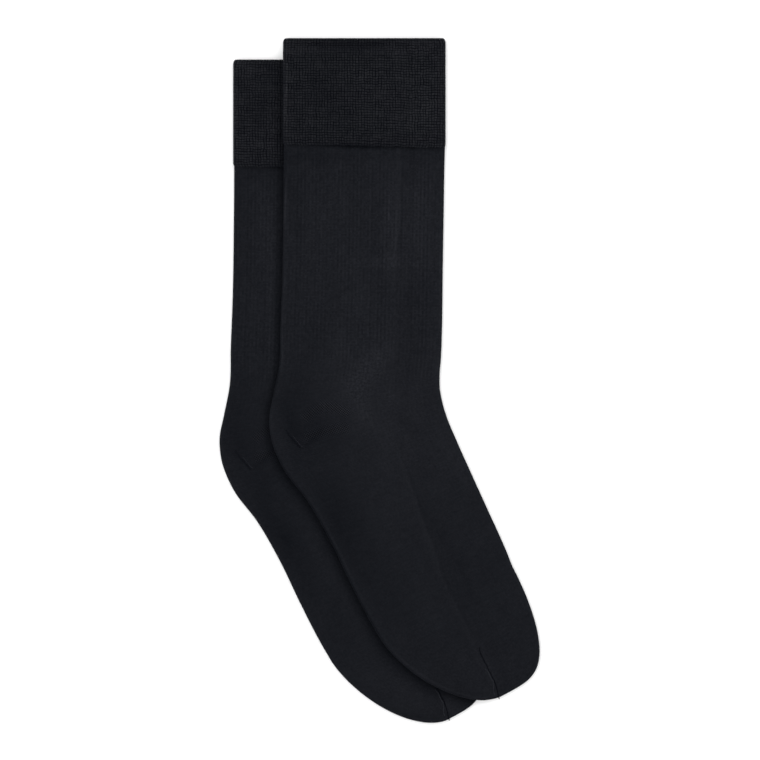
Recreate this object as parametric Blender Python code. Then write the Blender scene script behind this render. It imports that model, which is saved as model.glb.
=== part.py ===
"""Pair of fine-knit mid-calf socks, laid flat with one across the other.

Each sock is a seamless tube pressed flat, in two pieces: a turned double cuff with fine ribs, and a
body that runs down the leg, round the heel pocket and along the foot to its closed toe. The front
and the back layer of cloth lie on each other with a thin slit between them. The upper sock lies
across the under sock and sinks to the floor past its edges.

A sock's own frame has its origin at the middle of the cuff's mouth, +Y up the leg and +X towards
the instep. A section is a straight line across the sock, from the back edge to the front edge.
Tables and sizes are in millimetres and degrees. The model is in metres, with +Z up.
"""
import math
from collections import namedtuple

import bmesh
import bpy
import numpy as np

MM = 0.001

# Cloth
WALL = 1.05             # one layer of the knitted body
SLIT = 0.6              # between the front and the back layer
EDGE_WALL = 1.3         # cloth at the folded side edges and the tip
CUFF_WALL = 1.6         # the cuff is knitted double and turned in
GAP = 0.3               # between pieces that touch
RIM = 2.2               # how far the round of a side edge reaches in
INNER_RIM = 1.0         # the same on the inner skin
NARROW_RIM = 0.15       # near the toe's tip, a rim is no more than this share of the width

# Cuff
CUFF_WIDTH = 92.7
CUFF_HEIGHT = 61.8
CUFF_RIBS = 58
RIB_HEIGHT = 0.25
CUFF_EASE = 0.8         # how much its rounded ends draw in, at each side
CUFF_DROP = 0.35        # how much thinner they are, at each face
MOUTH_ROUND = 0.8       # how far the round of the mouth and of the hem reach along the leg
HEM_ROUND = 2.4

# Where the under sock lies, from the upper sock's place
UNDER_ACROSS = -28.5
UNDER_DOWN = 12.2

# How the upper sock sinks past what lies under it
HOLD = 1.2              # stays at full height this far past the under sock's edge
FALL = 8.0              # and reaches the floor this much farther out
STEP_FALL = 8.0         # from the under cuff's height to the under leg's height

# Body sections. `tuck` moves the front edge of the under sock, which the upper sock hides.
Section = namedtuple("Section", "name across down turn width tuck rings")
SECTIONS = (
    Section("hem", 0.0, CUFF_HEIGHT + GAP, 0.0, 91.5, 0.0, 1),
    Section("step", -0.1, 75.2, 0.0, 91.4, 0.0, 2),
    Section("calf", -0.3, 92.3, 0.0, 91.2, 0.0, 2),
    Section("leg", -1.0, 132.2, 0.0, 90.8, 0.0, 2),
    Section("ankle top", -1.7, 164.6, 0.5, 91.7, 0.0, 1),
    Section("ankle", -2.4, 183.7, 3.0, 91.8, 0.0, 1),
    Section("bend", -4.6, 198.1, 6.5, 95.7, 0.0, 2),
    Section("heel top", -5.5, 207.6, 9.5, 98.2, 0.0, 2),
    Section("heel", -4.3, 216.9, 13.0, 99.3, 0.0, 2),
    Section("heel foot", -0.1, 230.1, 17.5, 97.9, -1.0, 3),
    Section("sole", 9.1, 246.0, 21.5, 92.2, -2.5, 3),
    Section("arch", 20.6, 267.3, 25.0, 88.5, -4.0, 3),
    Section("mid foot", 30.9, 289.2, 27.0, 88.0, -5.5, 3),
    Section("ball", 42.2, 313.4, 28.0, 86.3, -6.0, 1),
    Section("toe base", 46.4, 321.7, 28.0, 85.2, -5.0, 0),
)

# Toe: each side closes on the tip by the curve  side**across + way**along = 1
TOE_LENGTH = 61.5
TOE_TIP = 3.3           # the tip lies this far in front of the toe base's middle
TOE_FRONT = {"across": 4.1, "along": 2.14}
TOE_BACK = {"across": 1.9, "along": 1.44}
TOE_RINGS = 12

# Columns across a ring
RIM_COLUMNS = (0.0, 0.16, 0.5, 1.0)     # shares of the rim
BACK_COLUMNS = 4
FALL_COLUMNS = 4
FRONT_COLUMNS = 3
EDGE_LIMIT = 0.75       # a ring's fall starts within this share of its half width
FALL_ROOM = 0.7         # and takes at most this share of the way from there to the front rim

CUFF_COLOUR = (0.0105, 0.011, 0.0135, 1.0)
BODY_COLOUR = (0.0125, 0.013, 0.016, 1.0)

Ring = namedtuple("Ring", "across down turn width close")


def ramp(value):
    """Smooth step from 0 to 1."""
    value = np.clip(value, 0.0, 1.0)
    return value * value * (3.0 - 2.0 * value)


def round_off(distance, reach):
    """Share of the full height at a distance from an edge that is rounded over a reach."""
    inward = np.clip(distance / reach, 0.0, 1.0)
    return np.sqrt(1.0 - (1.0 - inward) ** 2)


# ---------------------------------------------------------------- sections and rings

def smooth_curve(knots, values, at):
    """Smooth curve through the values, with each slope taken from the two neighbours."""
    slopes = np.gradient(values, knots)
    index = int(np.clip(np.searchsorted(knots, at, side="right") - 1, 0, len(knots) - 2))
    span = knots[index + 1] - knots[index]
    way = (at - knots[index]) / span
    start = (2 * way ** 3 - 3 * way ** 2 + 1) * values[index]
    start += (way ** 3 - 2 * way ** 2 + way) * span * slopes[index]
    end = (3 * way ** 2 - 2 * way ** 3) * values[index + 1]
    end += (way ** 3 - way ** 2) * span * slopes[index + 1]
    return start + end


def section_columns(under):
    """The table's columns as arrays. The under sock's front edge is moved by its tuck."""
    columns = {}
    for name in ("across", "down", "turn", "width", "tuck"):
        columns[name] = np.array([getattr(section, name) for section in SECTIONS])
    if under:
        turn = np.radians(columns["turn"])
        columns["across"] = columns["across"] + np.cos(turn) * columns["tuck"] / 2
        columns["down"] = columns["down"] - np.sin(turn) * columns["tuck"] / 2
        columns["width"] = columns["width"] + columns["tuck"]
    steps = np.hypot(np.diff(columns["across"]), np.diff(columns["down"]))
    columns["knots"] = np.concatenate(([0.0], np.cumsum(steps)))
    return columns


def toe_side(way, powers):
    """Share of the toe base's half width that is left at a share of the way to the tip."""
    return (1.0 - way ** powers["along"]) ** (1.0 / powers["across"])


def body_rings(under, inset=0.0, finer=1):
    """Rings from the hem to just short of the tip, then the tip itself as a ring of no width."""
    columns = section_columns(under)
    rings = []
    for index, section in enumerate(SECTIONS[:-1]):
        for part in range(section.rings * finer):
            way = part / (section.rings * finer)
            at = columns["knots"][index] * (1 - way) + columns["knots"][index + 1] * way
            across, down, turn, width = (
                smooth_curve(columns["knots"], columns[name], at)
                for name in ("across", "down", "turn", "width"))
            rings.append(Ring(across, down, turn, width - 2 * inset, 1.0))
    base = {name: columns[name][-1] for name in ("across", "down", "turn", "width")}
    turn = math.radians(base["turn"])
    length = TOE_LENGTH - inset
    front = base["width"] / 2 - TOE_TIP - inset
    back = base["width"] / 2 + TOE_TIP - inset
    count = TOE_RINGS * finer
    for index in range(count + 1):
        way = math.sin(math.pi / 2 * index / count)
        front_edge = TOE_TIP + front * toe_side(way, TOE_FRONT)
        back_edge = TOE_TIP - back * toe_side(way, TOE_BACK)
        middle = (front_edge + back_edge) / 2
        along = length * way
        across = base["across"] + math.sin(turn) * along + math.cos(turn) * middle
        down = base["down"] + math.cos(turn) * along - math.sin(turn) * middle
        close = float(round_off(length - along, RIM))
        rings.append(Ring(across, down, base["turn"], front_edge - back_edge, close))
    return rings


def ring_point(ring, share):
    """Place in the sock's frame of a share of the half width, from -1 at the back to 1 in front."""
    turn = math.radians(ring.turn)
    side = share * ring.width / 2
    return ring.across + math.cos(turn) * side, -ring.down + math.sin(turn) * side


# ---------------------------------------------------------------- the sock beneath

def under_outline():
    """Outline of the under sock, in the upper sock's frame."""
    rings = body_rings(under=True, finer=2)
    half = CUFF_WIDTH / 2
    back = [(-half, 0.0), (-half, -CUFF_HEIGHT)] + [ring_point(ring, -1.0) for ring in rings]
    front = [(half, 0.0), (half, -CUFF_HEIGHT)] + [ring_point(ring, 1.0) for ring in rings[:-1]]
    outline = np.array(back + front[::-1])
    return outline + np.array([UNDER_ACROSS, -UNDER_DOWN])


UNDER_OUTLINE = under_outline()


def depth_inside(points):
    """Distance of each point to the under sock's outline, positive on the under sock."""
    start = UNDER_OUTLINE
    end = np.roll(UNDER_OUTLINE, -1, axis=0)
    edge = end - start
    offset = points[:, None, :] - start[None, :, :]
    way = np.clip((offset * edge).sum(2) / (edge * edge).sum(1), 0.0, 1.0)
    nearest = np.linalg.norm(offset - way[:, :, None] * edge, axis=2).min(1)
    crosses = (start[:, 1] > points[:, 1, None]) != (end[:, 1] > points[:, 1, None])
    rise = np.where(np.abs(edge[:, 1]) < 1e-9, 1e-9, edge[:, 1])
    meets = start[:, 0] + (points[:, 1, None] - start[:, 1]) * edge[:, 0] / rise
    inside = (crosses & (points[:, 0, None] < meets)).sum(1) % 2 == 1
    return np.where(inside, nearest, -nearest)


def lift(points):
    """Height of the upper sock's underside over the floor."""
    leg_top = 2 * WALL + SLIT + GAP
    cuff_top = 2 * CUFF_WALL + SLIT + RIB_HEIGHT + GAP
    below_cuff = -points[:, 1] - (UNDER_DOWN + CUFF_HEIGHT + HOLD)
    full = cuff_top + (leg_top - cuff_top) * ramp(below_cuff / STEP_FALL)
    return full * ramp((depth_inside(points) + HOLD + FALL) / FALL)


def no_lift(points):
    """The under sock lies on the floor."""
    return np.zeros(len(points))


def fall_start(ring):
    """Share of the half width where a ring of the upper sock leaves the under sock."""
    shares = np.linspace(-1.0, 1.0, 201)
    points = np.array([ring_point(ring, share) for share in shares])
    covered = shares[depth_inside(points) > 0]
    found = covered.max() if len(covered) else -1.0
    return float(np.clip(found, -EDGE_LIMIT, EDGE_LIMIT))


# ---------------------------------------------------------------- columns and rows of points

def spread(start, end, count):
    """Evenly spaced shares after start, up to and with end."""
    return list(np.linspace(start, end, count + 1)[1:])


def rim_reach(ring, rim):
    """How far the round of the side edges reaches in on a ring, in millimetres."""
    return min(rim, NARROW_RIM * ring.width)


def plain_columns(ring):
    """Shares across a ring that lies flat: close at both rims, even between them."""
    rim = 2 * rim_reach(ring, RIM) / ring.width
    back = [-1.0 + rim * share for share in RIM_COLUMNS]
    front = [-share for share in reversed(back)]
    return back + spread(back[-1], front[0], BACK_COLUMNS + FRONT_COLUMNS)[:-1] + front


def draped_columns(ring, edge):
    """Shares across a ring that falls from the under sock: close at both rims and in the fall."""
    rim = 2 * rim_reach(ring, RIM) / ring.width
    back = [-1.0 + rim * share for share in RIM_COLUMNS]
    front = [-share for share in reversed(back)]
    fall_end = edge + min(2 * (HOLD + FALL) / ring.width, FALL_ROOM * (front[0] - edge))
    hold = edge + (fall_end - edge) * HOLD / (HOLD + FALL)
    middle = spread(back[-1], edge, BACK_COLUMNS) + [hold] + spread(hold, fall_end, FALL_COLUMNS)
    return back + middle + spread(fall_end, front[0], FRONT_COLUMNS)[:-1] + front


def ribbed_columns(ring, columns):
    """Shares over the cuff's top, with every crest and groove of its ribs between the rims."""
    rims = len(RIM_COLUMNS)
    back, front = columns[:rims], columns[-rims:]
    return back + spread(back[-1], front[0], 2 * CUFF_RIBS)[:-1] + front


def rib_heights():
    """How far each of the ribbed columns is raised: crests and grooves take turns."""
    ribs = [RIB_HEIGHT, 0.0] * CUFF_RIBS
    rim = [0.0] * len(RIM_COLUMNS)
    return rim + ribs[:-1] + rim


def loop_points(ring, over, below, middle, half, rim, lifted, raised=None):
    """One closed loop round a ring: over its top from back to front, and back along its bottom.

    `middle` is the height of the sock's middle and `half` the loop's own half height there.
    """
    shares = np.array(list(over) + list(reversed(below[1:-1])))
    points = np.array([ring_point(ring, share) for share in shares])
    inward = (1 - np.abs(shares)) * ring.width / 2
    height = half * ring.close * round_off(inward, rim_reach(ring, rim))
    heights = middle + np.where(np.arange(len(shares)) < len(over), height, -height)
    if raised:
        heights[:len(over)] += raised
    return np.column_stack((points, heights + lifted(points))), loop_order(over, below)


def loop_order(over, below):
    """How far round the loop each point lies, from 0 to 2, to match loops of unlike counts."""
    top = [(share + 1) / 2 for share in over]
    return top + [1 + (1 - share) / 2 for share in reversed(below[1:-1])]


# ---------------------------------------------------------------- meshes

def add_loop(mesh, loop):
    """Adds a loop's points to a bmesh, in metres."""
    points, order = loop
    return [mesh.verts.new([value * MM for value in point]) for point in points], order


def join_like(mesh, first, second):
    """A band of faces between two loops of the same count."""
    count = len(first)
    for index in range(count):
        after = (index + 1) % count
        mesh.faces.new((first[index], first[after], second[after], second[index]))


def join_unlike(mesh, first, second):
    """A band of triangles between two loops of unlike counts, matched by their order."""
    (one, one_order), (two, two_order) = first, second
    one_order = one_order + [2.0 + one_order[0]]
    two_order = two_order + [2.0 + two_order[0]]
    here, there = 0, 0
    while here < len(one) or there < len(two):
        go_here = there == len(two) or (
            here < len(one) and one_order[here + 1] <= two_order[there + 1])
        corner, other = one[here % len(one)], two[there % len(two)]
        if go_here:
            mesh.faces.new((corner, one[(here + 1) % len(one)], other))
            here += 1
        else:
            mesh.faces.new((corner, two[(there + 1) % len(two)], other))
            there += 1


def join_tip(mesh, loop, tip):
    """A fan of triangles from a loop to a point."""
    for index in range(len(loop)):
        mesh.faces.new((loop[index], loop[(index + 1) % len(loop)], tip))


def finish_piece(mesh, name, material, sock, collection):
    """Makes an object of a closed bmesh, in the sock's own frame."""
    bmesh.ops.recalc_face_normals(mesh, faces=mesh.faces)
    data = bpy.data.meshes.new(name)
    mesh.to_mesh(data)
    mesh.free()
    data.materials.append(material)
    data.shade_smooth()
    piece = bpy.data.objects.new(name, data)
    piece.parent = sock
    collection.objects.link(piece)
    return piece


def make_body(name, material, sock, collection, under):
    """Leg, heel pocket, foot and toe: an outer and an inner skin, joined round the hem."""
    mesh = bmesh.new()
    middle = WALL + SLIT / 2
    skins = []
    for inset, half, rim in ((0.0, middle, RIM), (EDGE_WALL, SLIT / 2, INNER_RIM)):
        rings = body_rings(under, inset)
        loops = []
        for ring in rings[:-1]:
            columns = plain_columns(ring) if under else draped_columns(ring, fall_start(ring))
            lifted = no_lift if under else lift
            loop = loop_points(ring, columns, columns, middle, half, rim, lifted)
            loops.append(add_loop(mesh, loop))
        for first, second in zip(loops[:-1], loops[1:]):
            join_like(mesh, first[0], second[0])
        place = np.array([ring_point(rings[-1], 0.0)])
        height = middle + (0.0 if under else float(lift(place)[0]))
        tip = mesh.verts.new((place[0, 0] * MM, place[0, 1] * MM, height * MM))
        join_tip(mesh, loops[-1][0], tip)
        skins.append(loops[0])
    join_unlike(mesh, skins[0], skins[1])
    return finish_piece(mesh, name, material, sock, collection)


def cuff_rows(under):
    """How far down the cuff's rows lie, and how far each is drawn in, from 0 to 1."""
    rows = [(0.0, 1.0), (MOUTH_ROUND, 0.0)]
    if not under:
        full = UNDER_DOWN - HOLD
        rows += [(full - FALL * share, 0.0) for share in (1.0, 0.75, 0.5, 0.25, 0.0)]
    rows += [(CUFF_HEIGHT / 2, 0.0), (CUFF_HEIGHT - HEM_ROUND, 0.0), (CUFF_HEIGHT, 1.0)]
    return rows


def make_cuff(name, material, sock, collection, under):
    """Turned cuff: ribs on the outer skin's top, a plain inner skin, and both ends joined."""
    mesh = bmesh.new()
    middle = CUFF_WALL + SLIT / 2
    outer, inner = [], []
    wide = Ring(0.0, CUFF_HEIGHT / 2, 0.0, CUFF_WIDTH, 1.0)
    edge = fall_start(wide)
    lifted = no_lift if under else lift
    for down, drawn in cuff_rows(under):
        ring = Ring(0.0, down, 0.0, CUFF_WIDTH - 2 * CUFF_EASE * drawn, 1.0)
        columns = plain_columns(ring) if under else draped_columns(ring, edge)
        over = ribbed_columns(ring, columns)
        half = middle - CUFF_DROP * drawn
        loop = loop_points(ring, over, columns, middle, half, RIM, lifted, rib_heights())
        outer.append(add_loop(mesh, loop))
        narrow = ring._replace(width=ring.width - 2 * CUFF_WALL)
        columns = plain_columns(narrow) if under else draped_columns(narrow, edge)
        loop = loop_points(narrow, columns, columns, middle, SLIT / 2, INNER_RIM, lifted)
        inner.append(add_loop(mesh, loop))
    for skin in (outer, inner):
        for first, second in zip(skin[:-1], skin[1:]):
            join_like(mesh, first[0], second[0])
    join_unlike(mesh, outer[0], inner[0])
    join_unlike(mesh, outer[-1], inner[-1])
    return finish_piece(mesh, name, material, sock, collection)


# ---------------------------------------------------------------- the pair

def knit_material(name, colour):
    """Dull dark knit."""
    material = bpy.data.materials.new(name)
    material.use_nodes = True
    shader = material.node_tree.nodes["Principled BSDF"]
    shader.inputs["Base Color"].default_value = colour
    shader.inputs["Roughness"].default_value = 0.9
    shader.inputs["Metallic"].default_value = 0.0
    material.diffuse_color = colour
    return material


def place_on_origin(socks, pieces):
    """Moves both socks so that the pair's box stands centred on the origin."""
    bpy.context.view_layer.update()
    corners = []
    for piece in pieces:
        points = np.empty(len(piece.data.vertices) * 3)
        piece.data.vertices.foreach_get("co", points)
        points = points.reshape(-1, 3) + np.array(piece.matrix_world.translation)
        corners += [points.min(0), points.max(0)]
    middle = (np.min(corners, axis=0) + np.max(corners, axis=0)) / 2
    for sock in socks:
        sock.location.x -= middle[0]
        sock.location.y -= middle[1]


def main():
    for item in list(bpy.data.objects):
        bpy.data.objects.remove(item, do_unlink=True)
    collection = bpy.data.collections.new("pair_of_socks")
    bpy.context.scene.collection.children.link(collection)
    cuff_knit = knit_material("cuff_knit", CUFF_COLOUR)
    body_knit = knit_material("body_knit", BODY_COLOUR)
    socks, pieces = [], []
    for name, under in (("under_sock", True), ("upper_sock", False)):
        sock = bpy.data.objects.new(name, None)
        collection.objects.link(sock)
        if under:
            sock.location = (UNDER_ACROSS * MM, -UNDER_DOWN * MM, 0.0)
        socks.append(sock)
        pieces.append(make_cuff(name + "_cuff", cuff_knit, sock, collection, under))
        pieces.append(make_body(name + "_body", body_knit, sock, collection, under))
    place_on_origin(socks, pieces)


main()
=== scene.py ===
"""Finish of a pair of fine-knit mid-calf socks, laid flat with one across the other.

Each sock has two knitted pieces, a turned double cuff in a fine mock rib and a body in plain knit,
and two sewn ones: the suture beside its heel pocket and the linked seam over its toe, each on both
faces. On top, every wale of the body and every stitch of the rib is raised in the mesh. The
materials add the body's single stitches, the yarn's fuzz and the uneven nap, with painted shade
in the grooves of the knit. The meshes' tone also holds painted light and shade along the folds,
on the pressed bead, at the seams and round the hem.

A sock's own frame has its origin at the middle of the cuff's mouth, +Y up the leg and +X towards
the instep. Tables and sizes are in millimetres and degrees, and places are given as across and
down from that origin. Meshes are in metres, in the row frame.
"""
import math
from collections import namedtuple

import bpy
import numpy as np
from bpy.props import FloatProperty, FloatVectorProperty, IntProperty, PointerProperty
from bpy.types import Operator, Panel, PropertyGroup
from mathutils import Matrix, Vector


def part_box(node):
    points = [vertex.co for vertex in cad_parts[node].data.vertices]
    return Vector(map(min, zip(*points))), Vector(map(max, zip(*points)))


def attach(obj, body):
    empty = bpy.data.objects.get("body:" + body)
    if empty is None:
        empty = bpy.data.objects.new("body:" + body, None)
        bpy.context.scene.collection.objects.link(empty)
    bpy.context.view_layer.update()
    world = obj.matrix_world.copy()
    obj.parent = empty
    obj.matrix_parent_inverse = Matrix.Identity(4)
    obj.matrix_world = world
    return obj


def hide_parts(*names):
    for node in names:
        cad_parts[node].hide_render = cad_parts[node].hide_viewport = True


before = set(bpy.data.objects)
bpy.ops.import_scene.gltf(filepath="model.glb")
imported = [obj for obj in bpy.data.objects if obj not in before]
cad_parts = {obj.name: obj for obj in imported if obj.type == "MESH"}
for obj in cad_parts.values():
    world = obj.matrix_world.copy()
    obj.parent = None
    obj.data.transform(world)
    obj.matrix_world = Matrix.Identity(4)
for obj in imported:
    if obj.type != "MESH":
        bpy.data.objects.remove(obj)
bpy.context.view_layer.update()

bl_info = {
    "name": "Pair of Socks",
    "version": (1, 0, 0),
    "blender": (4, 5, 0),
    "location": "3D View > Sidebar > Socks",
    "description": "Knits the cuffs, bodies and seams of a pair of socks laid flat",
    "category": "Add Mesh",
}

MM = 0.001
UNDER, UPPER = SOCKS = ("under_sock", "upper_sock")


def rows_of(kind, *rows):
    """A table's rows, given as plain tuples, as tuples with names."""
    return tuple(kind(*row) for row in rows)


# ---- sizes of the solids

WALL = 1.05  # one layer of the knitted body
SLIT = 0.6  # between the front and the back layer
EDGE_WALL = 1.3  # cloth at the folded side edges and the tip
CUFF_WALL = 1.6  # the cuff is knitted double and turned in
GAP = 0.3  # between pieces that touch
RIM = 2.2  # how far the round of a side edge reaches in
INNER_RIM = 1.0  # the same on the inner skin
CUFF_WIDTH = 92.7
CUFF_HEIGHT = 61.8
CUFF_EASE = 1.5  # how much its rounded ends draw in, at each side
CUFF_DROP = 0.35  # how much thinner they are, at each face
EASE_REACH = 2.8
HOLD = 1.2  # the upper sock stays at full height this far past the under sock's edge
FALL = 8.0  # and reaches the floor this much farther out
STEP_FALL = 8.0  # from the under cuff's height to the under leg's height
RIB_ROOM = 0.25  # room over the under cuff for its ribs

# Body sections. `tuck` moves the front edge of the under sock, which the upper sock hides.
Section = namedtuple("Section", "across down turn width tuck")
SECTIONS = rows_of(
    Section,
    (0.1, CUFF_HEIGHT + GAP, 0.0, 91.8, 0.0),  # hem
    (-0.1, 75.2, 0.0, 91.5, 0.0),
    (-0.3, 92.3, 0.0, 91.4, 0.0),  # calf
    (-0.9, 132.2, 0.0, 91.3, 0.0),
    (-1.7, 164.6, 0.5, 92.1, 0.0),
    (-2.3, 183.7, 3.0, 92.3, 0.0),  # ankle
    (-4.4, 198.1, 6.5, 95.3, 0.0),
    (-5.5, 207.6, 9.5, 98.5, 0.0),
    (-4.5, 216.9, 13.0, 99.7, 0.0),  # heel
    (0.1, 230.0, 17.5, 97.8, -1.0),
    (9.6, 245.8, 21.5, 92.0, -2.5),  # sole
    (20.7, 267.2, 25.0, 89.1, -4.0),  # arch
    (31.0, 289.2, 27.0, 88.6, -5.5),
    (42.6, 313.2, 28.0, 87.2, -6.0),  # ball
    (46.7, 321.6, 28.0, 85.8, -5.0),  # toe base
)

# Toe: each side closes on the tip by the curve  side**across + way**along = 1
TOE_LENGTH = 62.3
TOE_TIP = 2.5  # the tip lies this far in front of the toe base's middle
TOE_FRONT = {"across": 4.2, "along": 1.91}
TOE_BACK = {"across": 1.7, "along": 1.58}

# ---- knit and mesh sizes

WALES = 86  # columns of stitches across the flat body
COURSE = 0.86  # height of one stitch of the body
ROW = 1.0  # spacing of the body's rows of points
EDGE_STEPS = (0.0, 0.14, 0.34)  # columns and rows of points close to a folded edge
END_STEPS = (0.0, 0.1, 0.28, 0.55)  # the cuff's rows of points close to its mouth and its hem
BACK_POINTS = 22  # points across an underside
BACK_SPREAD = 0.985  # and how far out they lie, in shares of the half width
INNER_POINTS = 18  # points across an inner skin
INNER_HEM = 3  # the body's inner skin has the outer's first rows at the hem
INNER_EVERY = 8  # every so many of them down to the toe base
INNER_TOE = 8  # and this many rows of its own round the toe
CUFF_INNER = (0.03, 0.95, 14)  # the cuff's inner rows: share down of the first and last, how many
CUFF_RIBS = 58
CUFF_COURSES = 42
RIB_STEPS = 4  # points across one rib, and along one course
TURN_REACH = 0.9  # how far the fold of the cuff's mouth and hem reaches
RIB_FADE = 1.6  # the ribs fade out over this much near the cuff's side folds
WALE_FADE = 1.2  # and the wales near the body's
SECOND_WALE = 0.7  # every second wale's height, in shares of the first's
CUT_SHARE = 0.35  # share of a course's cut that also runs through the grooves between ribs
LEG_END = 165.0  # the wales show fully down to here
LEG_FADE = 45.0  # and are at their faintest this much farther down
GORE_DEPTH = 0.6  # depth of the gore, in shares of a seam's
OUTLINE_STEPS = 160  # points down each side of a body's outline
TOE_STEPS = 140  # and from its toe base to its tip

# Hem: the cuff's thin lip lies over the body, which is tucked in below it
TUCK = 1.0  # how far the body reaches in below the lip
TUCK_REACH = 2.4  # over which it narrows to a thin edge
TUCK_RISE = 0.85  # how far its middle rises there, to the cuff's own slit
TUCK_SHARE = 0.33  # share of its thickness that is left at its edge
LIP = 1.3  # length of the lip
LIP_SIDE = 0.5  # its wall at the sides
LIP_ROOM = 1.05  # from the cuff's middle up to the lip's inside
LIP_TURN = 0.4  # how far its rounded edge reaches
LIP_START = 0.6  # over which the full wall thins to the lip
LIP_STEPS = (0.6, 0.3, 0.0)  # rows of points over that
SLANT_REACH = 14.0  # the body's rows follow the hem's slant down to here

# Hem of the cuff: how far down it lies, and how far it stands off the leg, across the sock
Hem = namedtuple("Hem", "across down stand")
STAND_BELOW = 1.5  # how far down the leg the groove under the hem reaches
STAND_ABOVE = 4.0  # how far up the cuff its standing off reaches
HEMS = rows_of(
    Hem, (-46, 61.3, 0), (-32, 61.5, 0.02), (-18, 61.6, 0.22), (-6, 61.9, 0.34), (6, 62.2, 0.28),
    (16, 62.4, 0.16), (28, 62.7, 0.09), (46, 62.8, 0.06))

# The under sock's front edge, pressed through the upper sock: height of its bead down the sock,
# and how far inside the edge the bead's crest lies
Press = namedtuple("Press", "down height inside")
PRESSES = rows_of(
    Press, (0, 0.05, 0.9), (60, 0.08, -1.2), (72, 0.22, -1.7), (87, 0.30, -2), (101, 0.40, -2.5),
    (115, 0.50, -1.5), (129, 0.45, -1), (146, 0.18, -0.3), (166, 0.22, -1), (183, 0.14, -0.6),
    (205, 0.02, 0), (235, 0.16, 0.3), (257, 0.34, 0.3), (275, 0.34, 0.7), (292, 0.24, 1.2),
    (309, 0.26, 2.6), (326, 0.24, 3.1), (343, 0.20, 2), (358, 0.10, 1.4), (372, 0.02, 1.2))
PRESS_WIDTH = 0.95  # how wide its crest is, and the valley beside it
PRESS_VALLEY = 1.9  # from its crest out to the valley
PRESS_BACK = 1.8  # how much wider the bead is on the under sock's side
VALLEY_SHARE = 0.5  # depth of the valley, in shares of the bead's height
BEAD_REACH = 3.0  # the bead fades out over this much near the upper sock's own folds

# The upper sock's folded edge sinks into the under sock and stands up full beside it
SINK = 1.0
SINK_REACH = 3.4
EDGE_SAG = 0.6  # how far the fold's underside hangs into the hollow
EDGE_PUFF = 0.35  # how far it swells above
EDGE_REACH = 3.0
INNER_SINK = 0.55  # share of the sinking that the under sock's inner skin takes
EDGE_CREST = 1.5  # how far in from the fold it is fullest
EDGE_START = 4.0  # it grows over this much past the under sock's edge
RIM_PUFF = 0.12  # a folded edge of either sock is a little thicker than the flat cloth
RIM_PUFF_WIDTH = 1.5
FADE = 6.0  # creases and sinking fade out over this much near a fold

# Soft troughs and ridges of the laid cloth, each a long low mound or hollow
Crease = namedtuple("Crease", "across down turn length width height")
UPPER_CREASES = rows_of(
    Crease, (2, 196, -35, 30, 9, 0.42), (-24, 206, -52, 24, 6, -0.30), (-14, 228, -60, 22, 5, 0.22),
    (-30, 150, 4, 44, 8, -0.22), (-4, 128, -3, 52, 7, 0.24), (-38, 108, 2, 30, 5, 0.16),
    (30, 150, 2, 36, 7, -0.20), (36, 196, 24, 18, 5, 0.24), (30, 214, 44, 15, 4, -0.18),
    (14, 262, 27, 40, 8, -0.22), (2, 276, 27, 30, 6, 0.18), (52, 300, 28, 34, 7, 0.20),
    (44, 340, 30, 20, 7, -0.16))
UNDER_CREASES = rows_of(
    Crease, (-38, 118, 3, 34, 6, 0.22), (-42, 168, 0, 26, 5, -0.18), (-36, 206, -48, 16, 6, -0.20),
    (-30, 232, -58, 16, 5, 0.16), (-22, 262, 27, 26, 6, -0.14), (4, 330, 28, 24, 7, 0.14),
    (6, 150, 2, 40, 9, 0.10), (18, 210, 30, 22, 7, -0.10), (30, 290, 27, 34, 8, 0.10))
BACK_CREASES = rows_of(
    Crease, (-20, 140, 3, 40, 8, -0.10), (16, 120, -2, 34, 7, -0.12), (-14, 212, -50, 24, 7, -0.12),
    (30, 280, 27, 36, 8, -0.10))
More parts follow.
